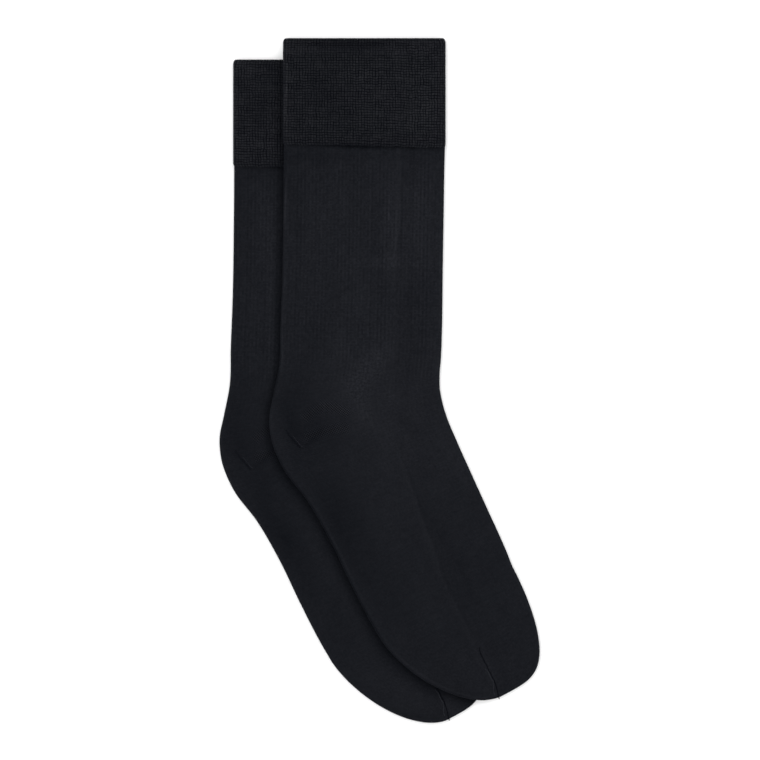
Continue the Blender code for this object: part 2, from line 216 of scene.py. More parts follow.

# Soft patches where the cloth is lighter or darker, in shares of the yarn's own tone: partly uneven
# nap, partly painted light and shade of the drape, such as the highlight at the ankle and the shade
# in the heel pocket
Patch = namedtuple("Patch", "across down turn length width share")
UPPER_PATCHES = rows_of(
    Patch, (52, 318, 28, 60, 34, -0.05), (-6.2, 297.7, 28, 36, 5, -0.08), (34.8, 362, 62, 20, 3.4, 0.08),
    (-39.6, 221, 0, 12, 4, -0.10), (0.6, 189.5, -40, 16, 7.4, 0.35), (-2.2, 209.5, 30, 14.8, 6.8, 0.21),
    (5.8, 207.8, 25, 31.9, 19.4, 0.20), (16.6, 237.9, 27, 13.7, 5.7, 0.03),
    (-26.1, 105.3, 0, 12.5, 5.7, 0.12), (-3.3, 149.7, 0, 8, 6.8, 0.19), (14.3, 107, 2, 26.2, 4.6, 0.28),
    (30.8, 101.3, 0, 26.2, 11.4, 0.22), (33.1, 149.7, 80, 12.5, 6.8, -0.08), (-37.5, 87, 0, 25.1, 8, -0.14),
    (-23.8, 222.6, 40, 19.4, 11.4, -0.28), (-42.1, 220.9, 10, 22.8, 9.1, -0.34),
    (-18.2, 266.4, 28, 25.1, 11.4, -0.28), (4.6, 304.6, 28, 51.3, 17.1, -0.22),
    (67.3, 293.8, 27, 34.2, 13.7, -0.08), (43.4, 283.5, 28, 34.2, 4.6, -0.13),
    (38.8, 229.4, 25, 17.1, 13.7, 0.06), (32, 72.8, 90, 17.1, 6.8, -0.03),
    (-27.8, 166.8, 0, 28.5, 12.5, -0.17), (77.5, 343.3, 20, 17.1, 16, -0.05),
    (43.4, 351.8, 28, 20.5, 17.1, -0.10), (-13.6, 175.3, -20, 17.1, 8, 0.09),
    (-36.4, 200.9, 10, 17.1, 8, -0.15), (54.7, 320.5, 28, 34.2, 9.1, -0.09),
    (10.3, 218, 24, 14.8, 4.6, -0.03), (53.6, 237.9, 28, 17.1, 6.8, 0.13),
    (-35.8, 213.5, 0, 9.1, 5.7, 0.21), (70.1, 359.3, 22, 12.5, 2.3, 0.28),
    (-29.5, 68.8, 90, 19.4, 4.6, -0.18), (9.2, 182.7, -10, 8, 5.7, 0.11), (20.6, 218, 60, 17.1, 4.6, -0.16),
    (43.4, 128, 0, 28.5, 3.4, 0.18), (41.1, 183.8, 0, 14.8, 4.6, 0.22), (12, 128, 90, 17.1, 4.6, 0.19),
    (-26.1, 144, 0, 34.2, 4.6, 0.14))
UNDER_PATCHES = rows_of(
    Patch, (0, 220, 0, 400, 200, -0.105), (-36.4, 137.5, 0, 34.2, 9.1, 0.07),
    (-42, 188.7, -10, 17.1, 10.3, -0.10), (-43.2, 217.2, 20, 19.4, 10.3, -0.27),
    (-16.4, 274.2, 30, 22.8, 8, -0.30), (-29.5, 245.7, 30, 17.1, 11.4, -0.16),
    (9.2, 314, 28, 34.2, 13.7, -0.11), (49.1, 362.4, 50, 28.5, 11.4, 0.12),
    (-27.8, 97.6, 0, 34.2, 3.4, 0.15), (-25, 137.5, 0, 51.3, 2.8, 0.23), (79.3, 368.7, 30, 9.1, 5.7, 0.36),
    (9.2, 296.9, 28, 22.8, 5.7, 0.07))
CUFF_UPPER_PATCHES = rows_of(
    Patch, (-6.8, 5, 90, 19.4, 5.1, -0.48), (23.4, 17.6, 20, 12.5, 6.8, 0.06),
    (-23.8, 26.7, 0, 17.1, 10.3, -0.22), (-7.9, 46, 60, 17.1, 6.8, -0.11),
    (34.8, 41.5, 0, 22.8, 10.3, 0.21), (12, 35.8, 30, 13.7, 6.8, 0.04), (-2.2, 23.2, 90, 17.1, 5.7, 0.08))
CUFF_UNDER_PATCHES = rows_of(
    Patch, (-42, 6.5, 90, 8, 5.7, 0.10), (-33.5, 28.1, 0, 14.8, 5.7, -0.17),
    (-39.2, 49.2, 90, 11.4, 5.7, 0.19), (-26.1, 15, 0, 17.1, 4.6, -0.19))

# Back fold of each sock, down the sock: how strong the painted highlight along it is, how far in
# that pale line lies, how dark its painted shaded side is and how far that reaches in
Fold = namedtuple("Fold", "down pale inward dark shaded")
UPPER_FOLDS = rows_of(
    Fold, (0, 0.12, 2.4, 0.42, 0.7), (14, 0.22, 2.8, 0.42, 0.7), (24, 0.40, 2.3, 0.45, 0.8),
    (35, 1.05, 1.5, 0.45, 0.8), (50, 0.45, 1.5, 0.45, 0.8), (62, 0.04, 1.6, 0.50, 1.2),
    (76, 0.04, 1.6, 0.50, 1.4), (92, 0.62, 1.1, 0.65, 0.75), (115, 0.14, 1.3, 0.50, 0.8),
    (138, 0.14, 1.4, 0.75, 0.75), (162, 0.18, 1.2, 0.72, 0.6), (184, 0.38, 1.3, 0.75, 0.7),
    (195, 0.10, 1.4, 0.70, 0.9), (206, 0.06, 1.2, 0.45, 0.8), (218, 0.04, 0.9, 0.34, 0.6),
    (230, -0.08, 2.2, 0.55, 0.8), (241, -0.04, 2.2, 0.70, 1), (264, 0.04, 2, 0.70, 0.95),
    (281, 0.12, 1.8, 0.70, 0.9), (298, 0.22, 1.9, 0.72, 0.95), (315, 0.10, 1.9, 0.70, 0.9),
    (332, 0.06, 2, 0.70, 1.1), (349, 0.10, 2, 0.65, 0.85), (363, 0.34, 1.9, 0.65, 0.8),
    (380, 0.14, 2, 0.60, 0.9))
UNDER_FOLDS = rows_of(
    Fold, (0, 0.20, 1.2, 0.42, 0.3), (50, 0.25, 1.2, 0.42, 0.3), (64, 0, 1.2, 0.42, 0.3),
    (180, 0.06, 1.2, 0.42, 0.4), (220, 0, 1.2, 0.42, 0.5), (380, 0, 1.2, 0.42, 0.5))
HIGHLIGHT_WIDTH = 0.6  # of the painted highlight line
FRONT_FROM = 2.0  # the front fold's shade starts this far from the back fold
FRONT_FADE = 4.0
FRONT_SHADE = 0.18  # how dark the front fold is, over its own short reach
FRONT_REACH = 0.5

# Shade on the under sock beside the upper sock's edge, down the under sock: how dark it is, and
# how far out it reaches
Shade = namedtuple("Shade", "down share reach")
SHADES = rows_of(
    Shade, (0, 0.34, 3.6), (50, 0.34, 3.2), (150, 0.34, 3), (200, 0.35, 3.2), (217, 0.42, 4),
    (229, 0.44, 4.8), (244, 0.40, 4.6), (285, 0.37, 4.2), (315, 0.36, 3.9), (332, 0.40, 4.8),
    (380, 0.40, 5))
BEAD_HIGHLIGHT = 0.50  # painted highlight on the pressed bead, for each millimetre of its height
SEAM_SHADE = 0.12  # painted shade in the groove of a seam, and how far it reaches
SEAM_REACH = 0.8
GORE_SHADE = 0.20  # painted shade in the gore, a soft narrow hollow
GORE_REACH = 1.5
BAND_REACH = 3.0
HEM_DARK = 0.12  # soft shade above the hem
HEM_DARK_REACH = 3.5
HEM_BELOW = 0.13  # and below it
HEM_BELOW_REACH = 9.0
HEM_LINE = 1.45  # darkness of the painted shadow line under the hem, for each millimetre that it stands off
HEM_LINE_DOWN = 0.2  # how far below the hem the line lies
HEM_LINE_WIDTH = 0.85
PALE_LIT_FROM = 0.2  # a patch paler than this, pale nap with painted highlight, is crinkled
PALE_LIT_MOST = 0.4

# Heel sutures and toe seam: the lines along which they run
HEEL_CROSS = (
    (-44.9, 223.1), (-43.6, 225.0), (-42.9, 226.6), (-41.8, 227.7), (-40.6, 228.8), (-39.8, 230.0),
    (-38.7, 231.1), (-37.7, 232.3), (-36.8, 233.2), (-35.8, 234.2))
HEEL_LOOPS = (
    (-40.8, 226.7), (-39.8, 227.7), (-38.7, 229.2), (-37.6, 230.5), (-36.6, 231.7), (-35.2, 233.0))
HEEL_GORE = ((-34.0, 233.1), (-31.7, 230.9), (-28.8, 228.0), (-26.0, 225.7), (-23.7, 224.0))
TOE_SEAM = (
    (65.7, 346.7), (65.7, 349.0), (66.2, 350.7), (67.4, 353.0), (68.4, 355.3), (69.5, 357.2),
    (70.3, 359.0), (70.9, 360.4), (71.8, 361.8), (72.4, 363.2), (73.1, 364.7), (73.9, 365.9),
    (74.3, 367.2), (74.8, 368.6), (75.3, 370.1), (75.8, 371.8), (76.0, 372.9), (76.3, 374.3),
    (76.7, 375.8), (77.1, 377.5))
TOE_LOOPS = (
    (68.7, 359.2), (70.5, 361.2), (71.4, 363.2), (72.3, 365.2), (73.4, 366.6), (73.6, 368.9),
    (73.6, 371.2), (73.8, 372.9), (74.6, 374.9))
SEAM_LINES = (HEEL_CROSS, TOE_SEAM)

# Each seam: the cord in its groove, the raised loops beside it, and their tones: the cord darkened
# as painted shade of the groove, the loops lightened as painted highlight
Seam = namedtuple("Seam", "name cord loops cord_tone loop_tone")
SEAMS = (
    Seam("_heel_suture", HEEL_CROSS, HEEL_LOOPS, 0.45, 1.65),
    Seam("_toe_seam", TOE_SEAM, TOE_LOOPS, 0.30, 2.6),
)
STITCH_ROUND = 6  # points round one loop, and round the cord
CORD_WIDTH = 0.52
CORD_SPREAD = (0.6, 1.3)  # how its width varies
CORD_START = 0.3  # it starts this far along its line
CORD_STOP = 0.2  # and stops this far before the line's end
CORD_END = 0.4  # its width at both ends
CORD_FLAT = 0.6  # its thickness
CORD_DEPTHS = {True: 0.6, False: 0.2}  # how deep it lies in the top and in the underside
LOOP_SIZE = (1.15, 0.38, 0.5)  # length, width and height of a loop, in stitches
LOOP_RINGS = ((-0.36, 0.7), (0.0, 1.0), (0.36, 0.7))  # place and width of its three rings
LOOP_SPREAD = (0.75, 1.15)  # how its size varies
LOOP_TILT = 14.0  # and its heading
LOOP_DEPTHS = {True: 0.0, False: 0.1}  # how deep it lies in the top and in the underside
HEADING_REACH = 0.2  # a line's heading is taken over this much on both sides
SEAM_FADE = 1.5  # a groove fades over this much at its ends
SEAM_START = 0.3  # share of it that is left at the very end

# Bands of open tuck stitches round the heel pocket
HEEL_BANDS = (
    ((-34.5, 217.7), (-29.4, 212.6), (-22.6, 209.8), (-15.2, 210.9), (-8.3, 214.3)),
    ((-8.3, 222.3), (-15.2, 222.3), (-21.4, 224.0), (-27.7, 225.7), (-34.5, 227.4)),
)

CREASES = {UNDER: UNDER_CREASES, UPPER: UPPER_CREASES}
PATCHES = {UNDER: UNDER_PATCHES, UPPER: UPPER_PATCHES}
CUFF_PATCHES = {UNDER: CUFF_UNDER_PATCHES, UPPER: CUFF_UPPER_PATCHES}
FOLDS = {UNDER: UNDER_FOLDS, UPPER: UPPER_FOLDS}

CHUNK = 2048  # points whose distances are worked out together
CUFF_SEED = 10  # keeps the cuffs' draws apart from the bodies'

# Stage, in metres but for the camera's sensor
FLOOR_SIZE = 6.0
FLOOR_DOWN = 0.0003  # the floor lies this far below the solids
LAMP_PLACE = (-0.55, 0.65, 1.3)
LAMP_SIZE = 1.0
CAMERA_PLACE = (0.00024, 0.00015)  # middle of the pair
SENSOR = 36.0


# ---- settings

class SockKnit(PropertyGroup):
    """Sizes of the knit's relief and of the seams."""

    rib_height: FloatProperty(
        name="Rib height", description="How far the cuff's ribs stand over their grooves",
        default=0.34 * MM, min=0.0, unit="LENGTH")
    rib_course: FloatProperty(
        name="Rib course depth", description="How deep the courses cut into the cuff's ribs",
        default=0.20 * MM, min=0.0, unit="LENGTH")
    wale_height: FloatProperty(
        name="Wale height", description="How far the body's wales stand over their grooves",
        default=0.12 * MM, min=0.0, unit="LENGTH")
    unevenness: FloatProperty(
        name="Unevenness", description="How much single ribs, courses and wales differ",
        default=0.3, min=0.0, max=1.0, subtype="FACTOR")
    stitch: FloatProperty(
        name="Seam stitch", description="Length of one stitch of the seams",
        default=1.2 * MM, min=0.3 * MM, unit="LENGTH")
    seam_depth: FloatProperty(
        name="Seam depth", description="How deep the seams press into the cloth",
        default=0.32 * MM, min=0.0, unit="LENGTH")
    seed: IntProperty(
        name="Seed", description="Number that the small differences are drawn from",
        default=7, min=0)


class SockColours(PropertyGroup):
    """Colours of the yarn, and how it takes the light."""

    cuff: FloatVectorProperty(
        name="Cuff", description="Colour of the cuff's yarn",
        default=(0.0100, 0.0105, 0.0127, 1.0), size=4, subtype="COLOR", min=0.0, max=1.0)
    body: FloatVectorProperty(
        name="Body", description="Colour of the body's yarn",
        default=(0.0075, 0.0082, 0.0107, 1.0), size=4, subtype="COLOR", min=0.0, max=1.0)
    thread: FloatVectorProperty(
        name="Seam thread", description="Colour of the linking thread",
        default=(0.0076, 0.0083, 0.0108, 1.0), size=4, subtype="COLOR", min=0.0, max=1.0)
    nap: FloatProperty(
        name="Nap", description="Strength of the pile's sheen at grazing light",
        default=0.025, min=0.0, max=1.0, subtype="FACTOR")


class SockStage(PropertyGroup):
    """Camera, light and floor."""

    frame_height: FloatProperty(
        name="Frame", description="Side of the square that the camera sees on the floor",
        default=0.4340, min=0.1, unit="LENGTH")
    lens: FloatProperty(
        name="Lens", description="Focal length of the camera",
        default=150.0, min=20.0, unit="CAMERA")
    dome: FloatProperty(
        name="Dome", description="Strength of the even light from all round",
        default=1.28, min=0.0)
    key: FloatProperty(
        name="Key", description="Power of the large soft lamp", default=4.0, min=0.0, unit="POWER")
    floor: FloatVectorProperty(
        name="Floor", description="Colour of the floor",
        default=(0.93, 0.93, 0.93, 1.0), size=4, subtype="COLOR", min=0.0, max=1.0)


# ---- small sums

def ramp(value):
    """Smooth step from 0 to 1."""
    value = np.clip(value, 0.0, 1.0)
    return value * value * (3.0 - 2.0 * value)


def round_off(distance, reach):
    """Share of the full height at a distance from an edge that is rounded over a reach."""
    inward = np.clip(distance / reach, 0.0, 1.0)
    return np.sqrt(1.0 - (1.0 - inward) ** 2)


def smooth_curve(knots, values, at):
    """Smooth curve through the values, with each slope taken from the two neighbours."""
    slopes = np.gradient(values, knots)
    index = np.clip(np.searchsorted(knots, at, side="right") - 1, 0, len(knots) - 2)
    span = knots[index + 1] - knots[index]
    way = (at - knots[index]) / span
    start = (2 * way ** 3 - 3 * way ** 2 + 1) * values[index]
    start += (way ** 3 - 2 * way ** 2 + way) * span * slopes[index]
    end = (3 * way ** 2 - 2 * way ** 3) * values[index + 1]
    end += (way ** 3 - way ** 2) * span * slopes[index + 1]
    return start + end


def smooth_table(rows, column, at):
    """A table's column as a smooth curve over its first column, held at both ends."""
    knots = np.array([row[0] for row in rows], float)
    values = np.array([getattr(row, column) for row in rows], float)
    return smooth_curve(knots, values, np.clip(at, knots[0], knots[-1]))


def table_columns(rows, columns, at):
    """Several columns of a table as smooth curves."""
    return [smooth_table(rows, column, at) for column in columns]


def line_ways(line):
    """How far along a line each of its points lies, in millimetres."""
    steps = np.linalg.norm(np.diff(line, axis=0), axis=1)
    return np.concatenate(([0.0], np.cumsum(steps)))


def points_along(line, ways):
    """Points at distances along a line."""
    at = line_ways(line)
    return np.column_stack([np.interp(ways, at, column) for column in line.T])


def points_at_shares(line, shares):
    """Points at shares of a line's length."""
    return points_along(line, np.asarray(shares) * line_ways(line)[-1])


def nearest_on_line(points, line):
    """Distance from each point to an open line, how far along it that is, and on which side."""
    start = line[:-1]
    edge = line[1:] - start
    length = np.sqrt((edge * edge).sum(1))
    before = line_ways(line)[:-1]
    distance = np.empty(len(points))
    along = np.empty(len(points))
    side = np.empty(len(points))
    for first in range(0, len(points), CHUNK):
        offset = points[first:first + CHUNK, None, :] - start[None]
        way = np.clip((offset * edge).sum(2) / length ** 2, 0.0, 1.0)
        away = np.linalg.norm(offset - way[:, :, None] * edge, axis=2)
        index = away.argmin(1)
        pick = np.arange(len(index))
        turned = edge[index, 0] * offset[pick, index, 1] - edge[index, 1] * offset[pick, index, 0]
        distance[first:first + CHUNK] = away[pick, index]
        along[first:first + CHUNK] = before[index] + way[pick, index] * length[index]
        side[first:first + CHUNK] = np.sign(turned)
    return distance, along, side


def is_inside(points, outline):
    """Whether each point lies inside a closed outline."""
    end = np.roll(outline, -1, axis=0)
    edge = end - outline
    rise = np.where(np.abs(edge[:, 1]) < 1e-9, 1e-9, edge[:, 1])
    inside = np.empty(len(points), bool)
    for first in range(0, len(points), CHUNK):
        part = points[first:first + CHUNK]
        crosses = (outline[:, 1] > part[:, 1, None]) != (end[:, 1] > part[:, 1, None])
        meets = outline[:, 0] + (part[:, 1, None] - outline[:, 1]) * edge[:, 0] / rise
        inside[first:first + CHUNK] = (crosses & (part[:, 0, None] < meets)).sum(1) % 2 == 1
    return inside


def mounds(points, table):
    """Sum of a table's soft patches or creases at each point, by their last column."""
    total = np.zeros(len(points))
    for row in table:
        turn = math.radians(row.turn)
        offset = points - np.array([row.across, -row.down])
        along = offset[:, 0] * math.sin(turn) - offset[:, 1] * math.cos(turn)
        beside = offset[:, 0] * math.cos(turn) + offset[:, 1] * math.sin(turn)
        total += row[-1] * np.exp(-(along / row.length) ** 2 - (beside / row.width) ** 2)
    return total


# ---- the flat form of a sock

def section_columns(sock):
    """The table's columns as arrays. The under sock's front edge is moved by its tuck."""
    columns = {name: np.array([getattr(row, name) for row in SECTIONS]) for name in Section._fields}
    if sock == UNDER:
        turn = np.radians(columns["turn"])
        columns["across"] = columns["across"] + np.cos(turn) * columns["tuck"] / 2
        columns["down"] = columns["down"] - np.sin(turn) * columns["tuck"] / 2
        columns["width"] = columns["width"] + columns["tuck"]
    columns["knots"] = line_ways(np.column_stack((columns["across"], columns["down"])))
    return columns


def body_rows(sock, inset, ways, shares):
    """Points at shares of the half width, for each distance from the hem up to the toe base."""
    columns = section_columns(sock)
    across, down, turn, width = (
        smooth_curve(columns["knots"], columns[name], ways)[:, None] for name in Section._fields[:4])
    side = shares * (width / 2 - inset)
    turn = np.radians(turn)
    return np.stack((across + np.cos(turn) * side, -down + np.sin(turn) * side), axis=2)


def toe_side(way, powers):
    """Share of the toe base's half width that is left at a share of the way to the tip."""
    return (1.0 - way ** powers["along"]) ** (1.0 / powers["across"])


def toe_line(sock, inset):
    """The toe's outline from the base's back edge over the tip to its front edge, and where on it
    the outline turns across the foot and back."""
    columns = section_columns(sock)
    base = {name: columns[name][-1] for name in Section._fields}
    way = np.sin(np.linspace(0.0, math.pi / 2, TOE_STEPS))
    front = TOE_TIP + (base["width"] / 2 - TOE_TIP - inset) * toe_side(way, TOE_FRONT)
    back = TOE_TIP - (base["width"] / 2 + TOE_TIP - inset) * toe_side(way, TOE_BACK)
    side = np.concatenate((back, front[-2::-1]))
    along = np.concatenate((way, way[-2::-1])) * (TOE_LENGTH - inset)
    turns = np.flatnonzero(np.diff(side) >= np.abs(np.diff(along)))
    turn = math.radians(base["turn"])
    across = base["across"] + math.sin(turn) * along + math.cos(turn) * side
    down = base["down"] + math.cos(turn) * along - math.sin(turn) * side
    return np.column_stack((across, -down)), turns[0], turns[-1] + 1


def toe_rows(sock, inset, ways, shares):
    """Rows of points that bend from the straight toe base to the round of the toe's outline."""
    line, first, last = toe_line(sock, inset)
    ends = section_columns(sock)["knots"][-1:]
    base = body_rows(sock, inset, ends, shares)[0]
    over = (shares + 1) / 2
    tip = points_at_shares(line[first:last + 1], over)
    back = points_at_shares(line[:first + 1], ways)
    front = points_at_shares(line[last:][::-1], ways)
    u = over[None, :, None]
    v = ways[:, None, None]
    rows = (1 - v) * base[None] + v * tip[None] + (1 - u) * back[:, None] + u * front[:, None]
    corners = (1 - u) * (1 - v) * base[0] + u * (1 - v) * base[-1]
    return rows - corners - (1 - u) * v * tip[0] - u * v * tip[-1]


def side_line(sock, inset=0.0):
    """The folded edge, from the hem down the back, round the toe and up the front."""
    ends = section_columns(sock)["knots"]
    downs = np.linspace(0.0, ends[-1], OUTLINE_STEPS)
    edges = body_rows(sock, inset, downs, np.array([-1.0, 1.0]))
    past_hem = np.array([0.0, 3 * RIM])
    toe = toe_line(sock, inset)[0]
    back, front = edges[:, 0], edges[:, 1]
    return np.concatenate(([back[0] + past_hem], back, toe[1:-1], front[::-1], [front[0] + past_hem]))


def skin_shares(width, steps):
    """Shares of the half width along the rows of a tube's top, of its back and of its inner skin.
    The outer rows have points close to both folded edges."""
    back = np.array([-1.0 + 2 * step / width for step in EDGE_STEPS])
    spread = np.linspace(-BACK_SPREAD, BACK_SPREAD, BACK_POINTS)
    outer = [
        np.concatenate((back, between, -back[::-1]))
        for between in (np.linspace(-1.0, 1.0, steps + 1)[1:-1], spread)]
    return *outer, np.linspace(-1.0, 1.0, INNER_POINTS)


# ---- how the upper sock lies

def sock_origin(cuff):
    """Middle of a cuff's mouth in the row frame, in millimetres, by its CAD node's box."""
    low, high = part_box(cuff)
    return np.array([(low[0] + high[0]) / 2, high[1]]) / MM


ORIGINS = {sock: sock_origin(sock + "_cuff") for sock in SOCKS}
UNDER_PLACE = ORIGINS[UNDER] - ORIGINS[UPPER]


def sock_outline(sock):
    """Closed outline of a whole flat sock, in its own frame."""
    half = CUFF_WIDTH / 2
    corners = np.array([(-half, 0.0), (-half, -CUFF_HEIGHT), (half, -CUFF_HEIGHT), (half, 0.0)])
    return np.concatenate((corners[:2], side_line(sock)[1:-1:2], corners[2:]))


OUTLINES = {sock: sock_outline(sock) for sock in SOCKS}
UNDER_OUTLINE = OUTLINES[UNDER] + UNDER_PLACE
UNDER_FRONT = UNDER_OUTLINE[len(UNDER_OUTLINE) // 2:]
BACK_FOLDS = {sock: outline[:len(outline) // 2] for sock, outline in OUTLINES.items()}


def depth_inside(points, outline):
    """Distance of each point to a closed outline, positive inside it."""
    distance = nearest_on_line(points, np.concatenate((outline, outline[:1])))[0]
    return np.where(is_inside(points, outline), distance, -distance)


def lift(sock, points):
    """Height of a sock's underside over the floor."""
    if sock == UNDER:
        return np.zeros(len(points))
    leg_top = 2 * WALL + SLIT + GAP
    cuff_top = 2 * CUFF_WALL + SLIT + GAP + RIB_ROOM
    depth = depth_inside(points, UNDER_OUTLINE)
    below_cuff = -points[:, 1] - (-UNDER_PLACE[1] + CUFF_HEIGHT + HOLD)
    full = cuff_top + (leg_top - cuff_top) * ramp(below_cuff / STEP_FALL)
    return full * ramp((depth + HOLD + FALL) / FALL)


def hump(value, middle, width):
    """Soft hump of height 1 round a middle."""
    return np.exp(-((value - middle) / width) ** 2)


def pressed_bead(sock, points, inward):
    """Height of the bead, and of the valley beside it, where the under sock's front edge presses
    through the upper sock."""
    if sock == UNDER:
        return np.zeros(len(points))
    distance = nearest_on_line(points, UNDER_FRONT)[0]
    depth = np.where(is_inside(points, UNDER_OUTLINE), distance, -distance)
    height, inside = table_columns(PRESSES, ("height", "inside"), -points[:, 1])
    past_crest = inside - depth
    widths = np.where(past_crest < 0.0, PRESS_BACK * PRESS_WIDTH, PRESS_WIDTH)
    valley = VALLEY_SHARE * hump(past_crest, PRESS_VALLEY, PRESS_WIDTH)
    return height * (hump(past_crest, 0.0, widths) - valley) * ramp(inward / BEAD_REACH)


def sink(points):
    """How far the under sock is pressed in along the upper sock's folded edge."""
    return SINK * hump(depth_inside(points + UNDER_PLACE, OUTLINES[UPPER]), 0.0, SINK_REACH)


# ---- meshes

def flat(grid):
    """A grid of points as one list of points."""
    return grid.reshape(-1, grid.shape[-1])


def grid_faces(numbers, up):
    """Four-sided faces between the rows of a grid of point numbers, facing up or down."""
    one, two = numbers[:-1, :-1], numbers[1:, :-1]
    three, four = numbers[1:, 1:], numbers[:-1, 1:]
    order = (one, two, three, four) if up else (one, four, three, two)
    return np.stack([part.ravel() for part in order], axis=1).tolist()


def split_at(faces, corners):
    """The faces, with each four-sided one at a corner of the grid split in two through it."""
    split = []
    for face in faces:
        here = [place for place, point in enumerate(face) if point in corners]
        if here:
            one, two, three, four = face[here[0]:] + face[:here[0]]
            split += [(one, two, three), (one, three, four)]
        else:
            split.append(face)
    return split


def numbered(shapes):
    """Numbers of the points of one grid after the other, by how many rows and columns they have."""
    grids, start = [], 0
    for rows, columns in shapes:
        grids.append(np.arange(start, start + rows * columns).reshape(rows, columns))
        start += rows * columns
    return grids


def with_sides(grid, other):
    """A grid of point numbers between the first and the last column of another."""
    return np.column_stack((other[:, 0], grid, other[:, -1]))


def zip_faces(first, first_order, second, second_order, turned):
    """Triangles between two chains of point numbers, matched by how far along each point lies."""
    faces = []
    here, there = 0, 0
    while here < len(first) - 1 or there < len(second) - 1:
        go_here = there == len(second) - 1 or (
            here < len(first) - 1 and first_order[here + 1] <= second_order[there + 1])
        if go_here:
            face = (first[here], first[here + 1], second[there])
            here += 1
        else:
            face = (first[here], second[there + 1], second[there])
            there += 1
        faces.append(face[::-1] if turned else face)
    return faces


def rim_faces(grids, shares, end, turned):
    """Faces between the outer and the inner skin of a tube, all round one end."""
    top, back, upper, lower = (grid[end] for grid in grids)
    faces = zip_faces(top, shares[0], upper, shares[2], turned)
    return faces + zip_faces(back, shares[1], lower, shares[2], not turned)


def make_piece(name, points, faces, sock, material, places=None, values=None):
    """An object in the row frame from points in a sock's own frame, in millimetres."""
    data = bpy.data.meshes.new(name)
    moved = points.copy()
    moved[:, :2] += ORIGINS[sock]
    data.from_pydata((moved * MM).tolist(), [], faces)
    data.shade_smooth()
    data.materials.append(material)
    if places is not None:
        corners = np.empty(len(data.loops), np.int64)
        data.loops.foreach_get("vertex_index", corners)
        layer = data.uv_layers.new(name="knit")
        layer.uv.foreach_set("vector", places[corners].astype(np.float32).ravel())
    for name_of, value in (values or {}).items():
        layer = data.attributes.new(name_of, "FLOAT", "POINT")
        layer.data.foreach_set("value", value.astype(np.float32))
    data.validate()
    piece = bpy.data.objects.new(name, data)
    bpy.context.scene.collection.objects.link(piece)
    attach(piece, "root")
    return piece


def fold_swell(sock, place, inward):
    """How much a sock swells above and below its middle near its folded edges. The under sock is
    pressed in instead where the upper sock's edge sinks into it."""
    above = RIM_PUFF * hump(inward, RIM, RIM_PUFF_WIDTH)
    if sock == UNDER:
        return above - sink(place) * round_off(inward, FADE), np.zeros(len(place))
    held = ramp(depth_inside(place, UNDER_OUTLINE) / EDGE_START)
    swell = hump(inward, EDGE_CREST, EDGE_REACH) * held
    return above + EDGE_PUFF * swell, EDGE_SAG * swell


def fold_painted_light(sock, place, inward):
    """Painted light near the folded edges: a painted highlight along the back fold with painted shade
    on its edge side, painted shade along the front fold, and on the under sock a painted shadow
    beside the upper sock's edge."""
    at_back = nearest_on_line(place, BACK_FOLDS[sock])[0]
    pale, worn, dark, shaded = table_columns(FOLDS[sock], Fold._fields[1:], -place[:, 1])
    tone = pale * hump(at_back, worn, HIGHLIGHT_WIDTH) - dark * hump(at_back, 0.0, shaded)
    at_front = ramp((at_back - FRONT_FROM) / FRONT_FADE)
    tone -= FRONT_SHADE * hump(inward, 0.0, FRONT_REACH) * at_front
    if sock == UNDER:
        beside = depth_inside(place + UNDER_PLACE, OUTLINES[UPPER])
        share, reach = table_columns(SHADES, ("share", "reach"), -place[:, 1])
        tone -= share * hump(beside, 0.0, reach)
    return tone


def hem_shade(place, to_hem):
    """Painted shade near the cuff's hem: soft on both sides, and a painted shadow line where it stands off.
    """
    stand = smooth_table(HEMS, "stand", place[:, 0])
    shade = np.where(
        to_hem > 0.0, HEM_BELOW * hump(to_hem, 0.0, HEM_BELOW_REACH),
        HEM_DARK * hump(to_hem, 0.0, HEM_DARK_REACH))
    return 1.0 - shade - HEM_LINE * stand * hump(to_hem, HEM_LINE_DOWN, HEM_LINE_WIDTH)


# ---- body

def body_ways(sock):
    """Distances from the hem of the body's rows down to the toe base, and shares of the toe's."""
    length = section_columns(sock)["knots"][-1]
    leg = np.linspace(0.0, length, round(length / ROW) + 1)
    toe = np.linspace(0.0, 1.0, round(TOE_LENGTH / ROW) + 1)[1:]
    ends = [1.0 - step / TOE_LENGTH for step in EDGE_STEPS[:0:-1]]
    return leg, np.concatenate((toe[:-1], ends, [1.0]))


def body_grid(sock, inset, leg, toe, shares):
    """Points of the whole flat body, with its first rows drawn along the cuff's slanted hem."""
    rows = np.concatenate((body_rows(sock, inset, leg, shares), toe_rows(sock, inset, toe, shares)))
    across, down = rows[..., 0], -rows[..., 1]
    start = SECTIONS[0].down
    moved = smooth_table(HEMS, "down", across) - TUCK - start
    rows[..., 1] -= moved * (1.0 - ramp((down - start) / SLANT_REACH))
    return rows


def body_middle(sock, place):
    """Height of the body's middle over the floor, and the share of its thickness that is left
    where it narrows below the cuff's lip."""
    below_end = -place[:, 1] - smooth_table(HEMS, "down", place[:, 0]) + TUCK
    narrow = 1.0 - ramp(below_end / TUCK_REACH)
    height = lift(sock, place) + WALL + SLIT / 2 + TUCK_RISE * narrow
    return height, 1.0 - (1.0 - TUCK_SHARE) * narrow


def seam_lines(lines):
    """Lines of a table in the sock's own frame, with +Y up the leg."""
    return [np.array(line) * (1.0, -1.0) for line in lines]


def seam_nearness(points, lines, width):
    """How near points lie to the closest of the lines, from 0 to 1 on it, fading at its ends."""
    nearness = np.zeros(len(points))
    for line in seam_lines(lines):
        distance, along, _ = nearest_on_line(points, line)
        left = line_ways(line)[-1] - along
        ends = ramp(along / SEAM_FADE + SEAM_START) * ramp(left / SEAM_FADE + SEAM_START)
        nearness = np.maximum(nearness, ends * hump(distance, 0.0, width))
    return nearness


